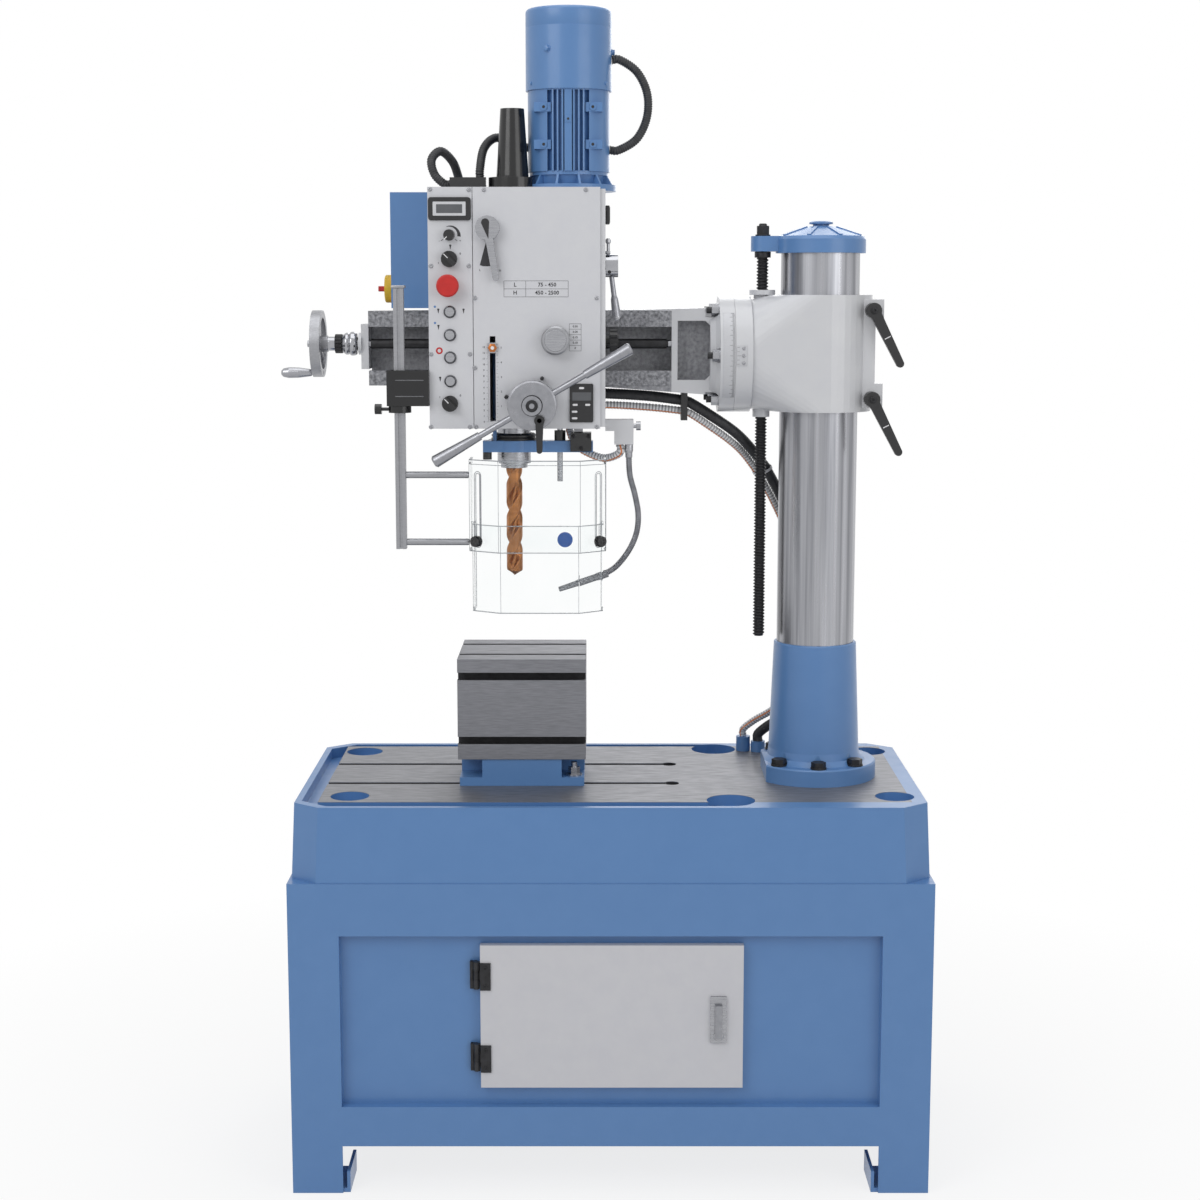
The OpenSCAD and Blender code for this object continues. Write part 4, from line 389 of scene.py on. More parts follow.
def grain_group(name, fine_ratio, detail, ridged):
    """Two noises, one coarse and one fine, give a mask for colour and a height for bump."""
    ins, outs = [("Vector", VECTOR), ("Scale", VALUE)], [("Mask", VALUE), ("Height", VALUE)]
    tree, (place, scale, *_), out = new_group(name, ins, outs)
    coarse = put(tree, "ShaderNodeTexNoise", Vector=place, Scale=scale, Detail=detail, Roughness=0.55)
    times = calc(tree, "MULTIPLY", scale, fine_ratio)
    height = put(tree, "ShaderNodeTexNoise", Vector=place, Scale=times, Detail=2.0, Roughness=0.5).outputs[0]
    if ridged:
        cells = put(tree, "ShaderNodeTexVoronoi", {"feature": "SMOOTH_F1"}, Vector=place, Scale=times)
        height = calc(tree, "ADD", cells.outputs[0], height)
    mask = put(tree, "ShaderNodeMapRange", Value=coarse.outputs[0], From_Min=0.32, From_Max=0.68)
    tree.links.new(mask.outputs[0], out[0])
    tree.links.new(height, out[1])
    return tree


def box_zone_group():
    """One inside a box, zero outside: the largest of |point - centre| - half over the axes is below zero."""
    ins = [("Vector", VECTOR), ("Centre", VECTOR), ("Half", VECTOR)]
    tree, (place, centre, half, *_), out = new_group("inside_box", ins, [("Mask", VALUE)])
    off = calc_vector(tree, "ABSOLUTE", calc_vector(tree, "SUBTRACT", place, centre))
    split = put(tree, "ShaderNodeSeparateXYZ", Vector=calc_vector(tree, "SUBTRACT", off, half)).outputs
    most = calc(tree, "MAXIMUM", calc(tree, "MAXIMUM", split[0], split[1]), split[2])
    tree.links.new(calc(tree, "LESS_THAN", most, 0.0), out[0])
    return tree


peel_group = grain_group("sprayed_enamel_peel", 6.0, 3.0, False)
cast_group = grain_group("sand_cast_skin", 3.0, 6.0, True)
ground_group = grain_group("ground_lines", 2.2, 4.0, False)
zone_group = box_zone_group()
print("groups:", [g.name for g in bpy.data.node_groups])

# %% [markdown]
# ## One builder for most finishes
#
# Paint, steel and plastic differ in a few facts: two close colours, a range of roughness, a grain and its
# size. Those facts are a look. A casting that is painted in one place and machined in another takes a main
# look and more looks inside boxes of its own space, so that one material covers it.

# %% Looks and the finish builder
COAT_ROUGHNESS, GRAIN_DEPTH = 0.12, 0.0004


def srgb(r, g, b):
    """A screen colour, 0 to 255, as the linear colour that shaders use."""
    c = np.array([r, g, b]) / 255
    return (*np.where(c <= 0.04045, c / 12.92, ((c + 0.055) / 1.055) ** 2.4).tolist(), 1.0)


def look(colour, dark, rough, group=peel_group, scale=60.0, bump=0.05, stretch=(1, 1, 1), metal=0.0):
    """The facts of one finish, kept together so that zones of a node can share them."""
    return dict(colour=srgb(*colour), dark=srgb(*dark), rough=rough, group=group, scale=scale, bump=bump,
                stretch=stretch, metal=metal)


def layer(tree, place, facts):
    """A look's nodes: its grain blends the two colours, spreads the roughness and gives the bump's height."""
    spot = put(tree, "ShaderNodeMapping", Vector=place, Scale=facts["stretch"]).outputs[0]
    grain = put(tree, "ShaderNodeGroup", {"node_tree": facts["group"]}, Vector=spot, Scale=facts["scale"])
    mask, height = grain.outputs
    colour = mixed(tree, mask, facts["colour"], facts["dark"])
    smooth, dull = facts["rough"]
    rough = put(tree, "ShaderNodeMapRange", Value=mask, To_Min=smooth, To_Max=dull).outputs[0]
    return colour, rough, calc(tree, "MULTIPLY", height, facts["bump"]), facts["metal"]


def finish(name, main, zones=(), coat=0.0, edge=0.0008):
    """A Principled material: a main look, other looks inside boxes, eased edges and a grain bump."""
    mat, tree, shader = new_material(name)
    place = put(tree, "ShaderNodeTexCoord").outputs["Object"]
    colour, rough, height, metal = layer(tree, place, main)
    for low, high, facts in zones:
        low, high = np.array(low) * MM, np.array(high) * MM
        inside = put(tree, "ShaderNodeGroup", {"node_tree": zone_group}, Vector=place,
                     Centre=tuple((low + high) / 2), Half=tuple((high - low) / 2)).outputs[0]
        colour2, rough2, height2, metal2 = layer(tree, place, facts)
        colour = mixed(tree, inside, colour, colour2)
        rough = mixed(tree, inside, rough, rough2, "FLOAT")
        height = mixed(tree, inside, height, height2, "FLOAT")
        if isinstance(metal, bpy.types.NodeSocket) or metal2 != metal:
            metal = mixed(tree, inside, metal, metal2, "FLOAT")
    bump = put(tree, "ShaderNodeBump", Height=height, Strength=1.0, Distance=GRAIN_DEPTH)
    if edge:
        soft = put(tree, "ShaderNodeBevel", {"samples": 4}, Radius=edge)
        tree.links.new(soft.outputs[0], bump.inputs["Normal"])
    facts = {"Base Color": colour, "Roughness": rough, "Metallic": metal, "Coat Weight": coat,
             "Coat Roughness": COAT_ROUGHNESS, "Normal": bump.outputs[0]}
    for label, value in facts.items():
        feed(tree, value, shader.inputs[label])
    return mat


print("finish builder ready")

# %% Looks of paint, metal and plastic
BLUE = look((88, 130, 182), (86, 128, 180), (0.34, 0.40), scale=24, bump=0.05)
GREY = look((206, 207, 210), (203, 204, 208), (0.28, 0.34), scale=20, bump=0.06)
PANEL = look((208, 209, 213), (205, 206, 211), (0.36, 0.44), scale=40, bump=0.04)
DOOR = look((203, 203, 207), (200, 200, 205), (0.42, 0.50), scale=34, bump=0.06)
IRON = look((128, 129, 134), (112, 113, 118), (0.46, 0.62), ground_group, 30, 0.15, (1, 9, 1), 0.7)
IRON_FACE = look((132, 133, 138), (120, 121, 126), (0.42, 0.56), ground_group, 40, 0.15, (1, 1, 14), 0.75)
SCRAPED = look((168, 169, 174), (92, 93, 98), (0.42, 0.6), cast_group, 170, 1.2, metal=0.2)
# The arm's recessed web: a real rough cast grain, and a grey darker than the enamel that is painted shade.
WEB_GRAIN_AND_SHADE = look((174, 175, 180), (132, 133, 138), (0.5, 0.62), cast_group, 150, 0.8)
STEEL = look((166, 167, 171), (150, 151, 156), (0.22, 0.34), ground_group, 40, 0.02, (1, 1, 12), 1.0)
SATIN = look((152, 153, 158), (140, 141, 146), (0.26, 0.36), ground_group, 90, 0.04, (1, 8, 1), 0.95)
COLUMN = look((176, 177, 182), (128, 129, 134), (0.24, 0.38), ground_group, 26, 0.10, (3, 3, 0.05), 1.0)
CHROME = look((168, 169, 173), (156, 157, 161), (0.1, 0.18), peel_group, 50, 0.02, metal=1.0)
ALU = look((158, 159, 163), (146, 147, 151), (0.3, 0.42), ground_group, 120, 0.05, (1, 1, 10), 0.9)
NECK_STEEL = look((128, 129, 134), (96, 97, 102), (0.3, 0.42), ground_group, 90, 0.1, metal=0.9)
RING_STEEL = look((96, 97, 101), (84, 85, 89), (0.22, 0.3), peel_group, 60, 0.03, metal=0.9)
BRONZE = look((176, 118, 70), (146, 95, 58), (0.28, 0.4), ground_group, 40, 0.08, (1, 1, 3), 0.85)
COPPER = look((190, 118, 66), (160, 96, 54), (0.28, 0.4), peel_group, 90, 0.05, metal=0.9)
BLACK_STEEL = look((44, 44, 47), (30, 30, 32), (0.38, 0.52), cast_group, 120, 0.25, metal=0.4)
BLACK_PLASTIC = look((32, 32, 34), (26, 26, 28), (0.3, 0.42), cast_group, 220, 0.12)
GREY_PLASTIC = look((120, 124, 130), (108, 112, 118), (0.45, 0.55), cast_group, 160, 0.15)
NOZZLE = look((140, 142, 147), (126, 128, 133), (0.36, 0.46), peel_group, 80, 0.05)
RED = look((196, 38, 34), (184, 32, 30), (0.34, 0.42), peel_group, 60, 0.05)
YELLOW = look((226, 186, 48), (214, 174, 42), (0.42, 0.52), peel_group, 60, 0.05)
SIGN_BLUE = look((34, 84, 158), (32, 80, 152), (0.35, 0.45), peel_group, 60, 0.02)
PRINT_BLACK = look((36, 36, 40), (46, 46, 50), (0.5, 0.6), peel_group, 90, 0.02)
PRINT_WHITE = look((232, 232, 234), (226, 226, 229), (0.5, 0.6), peel_group, 90, 0.02)
JACKET = look((46, 47, 50), (30, 31, 34), (0.45, 0.6), cast_group, 90, 0.2)
# Near black, painted into the T-slots as the shade inside them.
SLOT_SHADE = look((40, 40, 43), (32, 32, 35), (0.6, 0.7), cast_group, 90, 0.2, metal=0.2)
GLOSS_BLACK = look((22, 22, 24), (18, 18, 20), (0.16, 0.22), peel_group, 60, 0.05)
GREY_RIB = look((112, 113, 117), (96, 97, 101), (0.4, 0.5), cast_group, 160, 0.1)
SCALE_BAND = look((196, 197, 201), (190, 191, 195), (0.36, 0.46), ground_group, 120, 0.03, (1, 1, 8), 0.15)
DISPLAY = look((92, 94, 98), (84, 86, 90), (0.12, 0.2), peel_group, 30, 0.01)
DISPLAY_FRAME = look((206, 207, 210), (198, 199, 203), (0.35, 0.45), peel_group, 60, 0.03)
SHEET_EDGE = look((186, 190, 195), (176, 180, 186), (0.25, 0.35), peel_group, 50, 0.02)
print("looks ready")

# %% Finishes of new pieces
black_plastic = finish("black_moulded_plastic", BLACK_PLASTIC)
black_steel = finish("blackened_steel", BLACK_STEEL)
bright_steel = finish("bright_turned_steel", STEEL)
satin_steel = finish("satin_lever_steel", SATIN)
chrome = finish("polished_chrome", CHROME)
aluminium = finish("satin_aluminium", ALU)
grey_enamel = finish("light_grey_enamel", GREY, coat=0.25)
blue_enamel = finish("blue_enamel", BLUE, coat=0.2)
red_plastic = finish("red_plastic", RED)
yellow_plate = finish("yellow_switch_plate", YELLOW)
copper = finish("copper_pointer", COPPER)
print_black = finish("black_print", PRINT_BLACK, edge=0)
print_white = finish("white_print", PRINT_WHITE, edge=0)
rubber = finish("black_cable_jacket", JACKET)
neck_metal = finish("gooseneck_steel", NECK_STEEL)
nozzle_plastic = finish("nozzle_plastic", NOZZLE)
grey_rib_finish = finish("grey_holder_rib", GREY_RIB)
scale_band = finish("pale_scale_band", SCALE_BAND)
button_steel = finish("dark_button_ring", RING_STEEL)
display_glass = finish("display_glass", DISPLAY, edge=0)
display_frame = finish("display_frame", DISPLAY_FRAME)
sign_blue = finish("plain_blue_disc", SIGN_BLUE, edge=0)
edge_grey = finish("sheet_edge", SHEET_EDGE, edge=0)
edge_grey.node_tree.nodes["Principled BSDF"].inputs["Transmission Weight"].default_value = 0.35
print(len(bpy.data.materials), "materials so far")

# %% [markdown]
# ## Hoses and cables
#
# A black jacketed cable and a clear hose with a moulded spiral run from the head along the arm, hang in a
# long bow beside the column and end in two glands on the base plate. Every joint that they cross bends
# them, so each is cut where a clip or a joint holds it, and each stretch runs between two bodies.
# The route points are those of the drawing.

# %% Routes of the cable and the hose
CABLE = {
    "reach": [(-120, -54, 1436), (-120, -44, 1436), (-110, -26, 1439), (-80, -6, 1444), (-40, 3, 1447),
              (10, 4, 1446), (75, 2, 1442), (124, 0, 1436), (137, 0, 1434)],
    "bend": [(137, 0, 1434), (150, 0, 1429), (184, 8, 1408), (231, 24, 1376), (262, 42, 1346),
             (295, 58, 1305)],
    "drop": [(295, 58, 1305), (330, 76, 1240), (362, 92, 1165), (382, 99, 1090), (388, 101, 1010)],
    "tail": [(388, 101, 1010), (386, 106, 930), (372, 124, 862), (345, 155, 806), (312, 184, 774),
             (297, 195, 757), (297, 195, 744)],
}
HOSE = {
    "reach": [(-120, -54, 1414), (-120, -44, 1414), (-110, -26, 1416), (-80, -6, 1420), (-40, 3, 1425),
              (10, 4, 1425), (75, 2, 1421), (124, 0, 1416), (137, 0, 1414)],
    "bend": [(137, 0, 1414), (150, 0, 1409), (182, 12, 1388), (224, 32, 1358), (252, 54, 1332),
             (282, 72, 1293)],
    "drop": [(282, 72, 1293), (316, 91, 1232), (349, 108, 1160), (372, 117, 1088), (380, 119, 1010)],
    "tail": [(380, 119, 1010), (378, 124, 932), (362, 142, 868), (328, 172, 816), (290, 196, 786),
             (268, 204, 766), (268, 204, 752)],
}
LINKS = {"reach": ("head", "arm"), "bend": ("arm", "collar"), "drop": ("collar", "cap"),
         "tail": ("cap", "stand")}
print("cable and hose stretches:", list(LINKS))


# %% The clear spiral hose's own finish
# A printed stripe runs along the hose: its place and half width, as shares of a turn.
STRIPE_AT, STRIPE_HALF = 0.32, 0.035


def stripe_finish(name, base, ridge, stripe):
    """A hose wall whose colour follows its own UV map: u runs round it, v along it in rib pitches."""
    mat, tree, shader = new_material(name)
    uv = put(tree, "ShaderNodeUVMap", {"uv_map": "wall"}).outputs[0]
    split = put(tree, "ShaderNodeSeparateXYZ", Vector=uv).outputs
    wave = calc(tree, "PINGPONG", calc(tree, "FRACT", split[1]), 0.5)
    rib = put(tree, "ShaderNodeMapRange", Value=wave, From_Min=0.12, From_Max=0.3).outputs[0]
    off_stripe = calc(tree, "ABSOLUTE", calc(tree, "SUBTRACT", split[0], STRIPE_AT))
    on_stripe = calc(tree, "LESS_THAN", off_stripe, STRIPE_HALF)
    colour = mixed(tree, on_stripe, mixed(tree, rib, base, ridge), stripe)
    rough = put(tree, "ShaderNodeMapRange", Value=rib, To_Min=0.22, To_Max=0.4).outputs[0]
    for label, value in {"Base Color": colour, "Roughness": rough, "Coat Weight": 0.3}.items():
        feed(tree, value, shader.inputs[label])
    return mat


spiral_hose = stripe_finish("clear_spiral_hose", srgb(150, 152, 156), srgb(226, 227, 229), srgb(206, 122, 70))
print("hose finish:", spiral_hose.name)


# %% Swept lines
CABLE_D, HOSE_D, CONDUIT_D, NECK_D = 20, 15, 16, 11.2
HOSE_PITCH, NECK_PITCH = 6.0, 3.5


def wall_map(mesh, route, spacing, sides, pitch):
    """A swept tube's UV map, u round the wall and v along it, from each corner's place in the grid."""
    far = along(np.asarray(route, float), spacing)[1]
    corner = np.empty(len(mesh.loops), np.int32)
    mesh.loops.foreach_get("vertex_index", corner)
    total = np.empty(len(mesh.polygons), np.int32)
    mesh.polygons.foreach_get("loop_total", total)
    u = (corner % sides) / sides
    face = np.repeat(np.arange(len(total)), total)
    widest = np.zeros(len(total))
    np.maximum.at(widest, face, u)
    u = np.where((u == 0) & (widest[face] > 0.6), 1.0, u)
    v = far[np.minimum(corner // sides, len(far) - 1)] / pitch
    wall = mesh.uv_layers.new(name="wall")
    wall.data.foreach_set("uv", np.stack([u, v], -1).astype(np.float32).ravel())


def line_piece(name, points, wall, skin, body, nodes, diameter, sides=14, spacing=1.6, pitch=HOSE_PITCH,
               far_end="object", lay="taut", **carried):
    """A hose or cable: swept along its smooth route and mapped."""
    route = smooth_route(points)
    obj = make(name, [swept(route, wall, sides, spacing)], skin, body, nodes, sharp=60)
    wall_map(obj.data, route, spacing, sides, pitch)
    return obj


def ringed(middle, wave, pitch):
    """A wall with one ring to a pitch: a middle radius plus a cosine wave of the distance along the line."""
    return lambda s, t: middle + wave * np.cos(2 * np.pi * s / pitch) + 0 * t


def spiral(s, t):
    """A hose with a raised spiral: the crest moves along by one pitch per turn."""
    return 6.6 + 0.9 * np.clip(0.5 + 0.9 * np.cos(2 * np.pi * s / HOSE_PITCH - t), 0, 1)


LINES = {"jacket_cable": (CABLE, ringed(middle=9.7, wave=0.3, pitch=5), rubber, CABLE_D),
         "spiral_hose": (HOSE, spiral, spiral_hose, HOSE_D)}
for stretch, (a, b) in LINKS.items():
    nodes, lay = ("hose_" + stretch,), "taut" if stretch == "reach" else "hanging"
    for label, (table, wall, skin, wide) in LINES.items():
        points = table[stretch]
        piece = line_piece(f"{label}_{stretch}", points, wall, skin, None, nodes, wide, lay=lay)
        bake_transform(piece)

# %% [markdown]
# ## Conduits and the coolant line
#
# Three corrugated conduits loop from gland to gland on the head, and a gooseneck of pressed rings carries
# coolant to a plastic nozzle. They all move with the head, so each is one sweep whose radius is a wave
# along its own route.

# %% Conduit loops
LOOPS = {
    "panel": [(-284, -150, 1823), (-294, -150, 1823), (-312, -146, 1840), (-318, -136, 1866),
              (-303, -118, 1882), (-284, -96, 1866), (-276, -66, 1842), (-275, -48, 1827), (-275, -48, 1813)],
    "motor": [(1.4, -118, 2040), (16, -118, 2040), (46, -112, 2020), (64, -108, 1984), (64, -108, 1942),
              (46, -112, 1904), (14, -118, 1884), (-2.2, -118, 1884)],
    "back": [(-232, -140, 1834), (-232, -140, 1850), (-226, -122, 1886), (-208, -100, 1906),
             (-184, -88, 1903), (-164, -94, 1890), (-145.4, -99, 1890)],
}
corrugated = ringed(middle=7.4, wave=0.6, pitch=4)
for label, points in LOOPS.items():
    line_piece(f"conduit_{label}", points, corrugated, rubber, "head", ("conduits",), CONDUIT_D, spacing=1.0)

# %% Gooseneck, nozzle and short hose
NECK = [(32, -180, 1366), (32, -180, 1345), (34, -180, 1310), (43, -179, 1275), (49, -177, 1240),
        (46, -173, 1205), (32, -167, 1172), (10, -159, 1143), (-13, -153, 1127)]
SHORT = [(-74, -122, 1400), (-74, -122, 1384), (-62, -134, 1361), (-38, -146, 1346), (-10, -160, 1339),
         (16, -178, 1350), (16, -178, 1366)]
COOLANT = ("coolant_line",)
NOZZLE_END = np.array([-94.0, -146, 1099])
aim = NOZZLE_END - NECK[-1]
reach = float(np.linalg.norm(aim))
socket = [(0, -8), (7, -8), (7.3, 0), (7, 12), (6.2, 15)]
taper = [(6.4, 0.55 * reach), (5.4, 0.62 * reach), (4.6, reach)]
bore = [(2.6, reach), (2.6, reach - 9), (0, reach - 9)]
nozzle_part = turned([*socket, *taper, *bore], NECK[-1], aim, 32, 0.8)
nozzle = make("coolant_nozzle", [nozzle_part], nozzle_plastic, "head", COOLANT)
sleeve = [(0, -0.2), (7.6, -0.2), (7.6, 12), (6.4, 16), (6.4, 24), (0, 24)]
ferrule_part = turned(sleeve, NECK[0], DOWN, 32, 0.6)
ferrule = make("gooseneck_ferrule", [ferrule_part], bright_steel, "head", COOLANT)
knuckles = ringed(middle=5.15, wave=0.45, pitch=NECK_PITCH)
line_piece("gooseneck", NECK, knuckles, neck_metal, "head", COOLANT, NECK_D,
           sides=16, spacing=0.7, pitch=NECK_PITCH, far_end="fitting", lay="hanging",
           with_pieces=[nozzle, ferrule])
line_piece("coolant_hose_short", SHORT, spiral, spiral_hose, "head", COOLANT, HOSE_D, spacing=1.2,
           lay="hanging")

# %% [markdown]
# ## Finishes for the solids
#
# Most solids of the drawing already have the right shape, so they stay and only get their finish. Some
# carry more than one: the base plate and the box table are painted below and machined on top, and the arm's
# slideways are scraped while the rest is enamelled. Boxes in the object's own space mark those zones.
# Clear sheet has a material of its own, since it lets light through instead of hiding what is behind.

# %% Zones on castings and sheet metal
SLOT_Y, HINGE_Z = (-80, 80), (411, 256)
# The base plate's machined top, and painted shade in its two T-slots.
base_zones = [((-530.5, -228.5, 721.4), (545, 240.5, 722.6), IRON)]
base_zones += [((-530, y - 14, 690), (131, y + 14, 721.3), SLOT_SHADE) for y in SLOT_Y]
# The box table's ground top, its painted foot, and painted shade in the T-slots of its front and its top.
table_zones = [((-300, -130, 961.4), (-30, 140, 963), IRON), ((-300, -130, 700), (-30, 140, 772.6), BLUE)]
table_zones += [((-283.6, -104.4, z - 13), (-46.4, -78, z + 13), SLOT_SHADE) for z in (930, 809)]
table_zones += [((-283.6, y - 13, 936), (-46.4, y + 13, 961.3), SLOT_SHADE) for y in (-48, 65)]
# Bright nuts on the table's two clamp bolts.
bolt_zones = [((x - 18, y - 18, 722), (x + 18, y + 18, 772), STEEL) for x, y in ((-68, -80), (-262, 80))]
# The arm's rough web, whose darker grey is partly painted shade in its recesses, its scraped ways and the
# clip that holds the cable.
arm_zones = [((-460, -49.5, 1440), (112, 20, 1600), WEB_GRAIN_AND_SHADE), ((122, -46, 1470), (190, 0, 1586), WEB_GRAIN_AND_SHADE),
             ((-460, -60, 1440), (108.5, -50.5, 1603), SCRAPED),
             ((130.5, -19, 1390), (143.5, 19, 1457), BLACK_PLASTIC)]
# Black hinge leaves and knuckles on the stand and on the door, and the steel plate of its latch.
stand_zones = [((-262, -290, z - 30), (-236.6, -260.4, z + 30), BLACK_STEEL) for z in HINGE_Z]
door_zones = [((-262, -290, z - 30), (-212, -277.1, z + 30), BLACK_STEEL) for z in HINGE_Z]
door_zones += [((-251, -276, z - 9), (-236.1, -262, z + 9), BLACK_STEEL) for z in HINGE_Z]
door_zones += [((180, -283, 287), (210, -277.1, 375), STEEL)]
# The depth bracket's black blocks, aluminium scale, steel rods and pointer arm.
depth_zones = [((-72.5, -200.5, 1353), (-34.5, -164.5, 1388), BLACK_PLASTIC),
               ((-67, -189, 1388), (-49, -183, 1495), ALU),
               ((-103, -188, 1372.2), (-79, -164, 1390.5), BLACK_PLASTIC),
               ((-98, -184, 1390.5), (-84, -168, 1525), STEEL),
               ((-98, -184, 1290), (-84, -168, 1351.8), STEEL),
               ((-231, -186, 1330), (-211, -166, 1351.8), BLACK_PLASTIC),
               ((-216, -248, 1520), (-198, -190, 1560), STEEL)]
# Glands on the head, the switch's yellow plate, the arm's black nuts and the traverse thread.
gland_zone = [((-284.5, -170.5, 1811.4), (-219.5, -129.5, 1834.5), BLACK_PLASTIC)]
switch_zone = [((-404.5, -20.5, 1612.5), (-399.9, 30.5, 1667.5), YELLOW)]
nut_zone = [((170, -110, 1410), (184.9, 110, 1630), BLACK_STEEL)]
thread_zone = [((-441, -60, 1510), (106, -10, 1570), BLACK_STEEL)]
print("zones on the door and the depth bracket:", len(door_zones), len(depth_zones))


# %% Clear sheet
def clear_sheet(name):
    """Clear polycarbonate: full transmission, a faint blue tint and very fine scratches in the roughness."""
    mat, tree, shader = new_material(name)
    place = put(tree, "ShaderNodeTexCoord").outputs["Object"]
    grain = put(tree, "ShaderNodeGroup", {"node_tree": peel_group}, Vector=place, Scale=14.0).outputs[0]
    rough = put(tree, "ShaderNodeMapRange", Value=grain, To_Min=0.02, To_Max=0.07).outputs[0]
    colour = mixed(tree, grain, srgb(250, 252, 252), srgb(253, 254, 254))
    facts = {"Base Color": colour, "Roughness": rough, "Transmission Weight": 1.0, "IOR": 1.22}
    for label, value in facts.items():
        feed(tree, value, shader.inputs[label])
    return mat


clear_plastic = clear_sheet("clear_polycarbonate")
gloss_black = finish("gloss_black_cap", GLOSS_BLACK)
print("sheet and cap finishes:", clear_plastic.name, gloss_black.name)

# %% Every solid gets its finish
DRESS = (
    (finish("stand_enamel", BLUE, stand_zones, 0.2), "cabinet"),
    (finish("base_plate_paint_and_top", BLUE, base_zones, 0.15), "base_plate"),
    (finish("box_table_machined", IRON_FACE, table_zones), "box_table"),
    (finish("black_bolts_bright_nuts", BLACK_STEEL, bolt_zones), "hex_bolts"),
    (finish("ground_column_steel", COLUMN), "column"),
    (finish("moulded_tank_plastic", GREY_PLASTIC), "coolant_pump"),
    (finish("door_paint_and_plates", DOOR, door_zones), "door"),
    (finish("arm_enamel_and_ways", GREY, arm_zones, 0.15), "arm"),
    (finish("studs_and_nuts", STEEL, nut_zone), "arm_bolts"),
    (finish("traverse_screw_steel", STEEL, thread_zone), "traverse_screw"),
    (finish("head_enamel", GREY, gland_zone, 0.2), "head_housing"),
    (finish("front_panel_satin_paint", PANEL), "front_panel"),
    (finish("electrical_box_paint", BLUE, switch_zone, 0.2), "electrical_box"),
    (finish("depth_bracket_paint_and_rods", BLUE, depth_zones, 0.2), "depth_bracket"),
    (blue_enamel, "column_foot column_cap motor_housing motor_cowl"),
    (grey_enamel, "collar end_bracket coolant_bracket"),
    (black_plastic, "upper_clamp_lever lower_clamp_lever clutch_lever star_knob speed_knob"),
    (black_plastic, "upper_selector lower_selector"),
    (satin_steel, "latch_handle feed_hub"),
    (bright_steel, "crank_handle motor_rotor spindle_gear quill spindle gear_lever"),
    (bright_steel, "push_button_a push_button_b push_button_c push_button_d"),
    (aluminium, "handwheel feed_knob"),
    (chrome, "coolant_tap side_lever"),
    (gloss_black, "spindle_cap guard_bracket guard_turret"),
    (clear_plastic, "upper_shield lower_shield"),
    (red_plastic, "emergency_stop"),
)
for skin, names in DRESS:
    for name in names.split():
        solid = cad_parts[name].data
        solid.materials.clear()
        solid.materials.append(skin)
print(sum(len(names.split()) for _, names in DRESS), "solids dressed")

# %% [markdown]
# ## The lifting screw and the drill
#
# A screw thread is a radius that climbs as it turns: at height z and angle a the flank's place in the pitch
# is z / pitch - a / (2 pi). A twist drill does the same with its whole cross-section, turned a little more
# at each height. Both replace a plainer solid, because the groove is what the eye looks for.

# %% Lifting screw
LIFT = (281, 0)
LIFT_LEAD, LIFT_LENGTH = 6.0, 706


def threaded(base, axis, radius, depth, pitch, length, sides=20, per_turn=10):
    """A thread: the radius falls by the depth in a trapezoid wave that climbs one pitch in each turn."""
    a, u, w = axes_of(axis)
    h = np.linspace(0, length, int(length / pitch * per_turn) + 1)
    t = angles(sides)
    wave = np.abs(((h[:, None] / pitch - t[None, :] / (2 * np.pi)) % 1.0) - 0.5) * 2
    r = radius - depth * np.clip((wave - 0.25) / 0.5, 0, 1)
    return grid_part(np.asarray(base, float) + h[:, None, None] * a + r[..., None] * spokes(t, u, w)[None])


def on_lift(profile, count=32, ease=0.0):
    """A turned step of the screw, by radius and height above the floor."""
    return turned(profile, (*LIFT, 0), UP, count, ease)


foot = on_lift([(0, 990), (8, 990), (8.6, 992.5), (0, 992.5)])
neck = on_lift([(0, 1697), (15, 1697), (15, 1707.6), (8, 1707.6), (8, 1736.4), (0, 1736.4)], 32, 0.5)
washer = on_lift([(0, 1736.4), (14, 1736.4), (14, 1739), (0, 1739)], 32, 0.3)
tip = on_lift([(0, 1755), (7.5, 1755), (7.5, 1757), (6, 1759), (0, 1759)], 24)
thread = threaded((*LIFT, 992), UP, 11.0, 2.4, LIFT_LEAD, LIFT_LENGTH)
lift_parts = [thread, foot, neck, washer, hex_head((*LIFT, 1739), UP, 22, 16), tip]
make("lifting_screw", lift_parts, black_steel, "lift_screw", ("lift_screw",), sharp=40)
print("solid of the lifting screw:", box_mm("lift_screw"))

# %% Twist drill
DRILL_LEAD, DRILL_TIP, SHANK, ROUND_STEPS = 118.0, 9.0, 15, 96
# The flute: where its dip starts and how far it spans, in cosines, how it curves and how deep it is.
FLUTE_FROM, FLUTE_SPAN, FLUTE_CURVE, FLUTE_DEPTH = 0.12, 0.55, 0.65, 0.62
# Below the top: where finer rows start, where the flutes start to run out, and over what length. The shank
# is a share of the radius.
FINE_FROM, RUN_OUT, RUN_OVER, SHANK_SHARE = 18, 16, 12, 0.86


def drill_section(t):
    """A two-flute drill's radius by angle: full at the lands, a cosine dip down to the web in the flutes."""
    dip = np.clip((np.cos(2 * t) - FLUTE_FROM) / FLUTE_SPAN, 0, 1) ** FLUTE_CURVE
    return 1 - FLUTE_DEPTH * dip


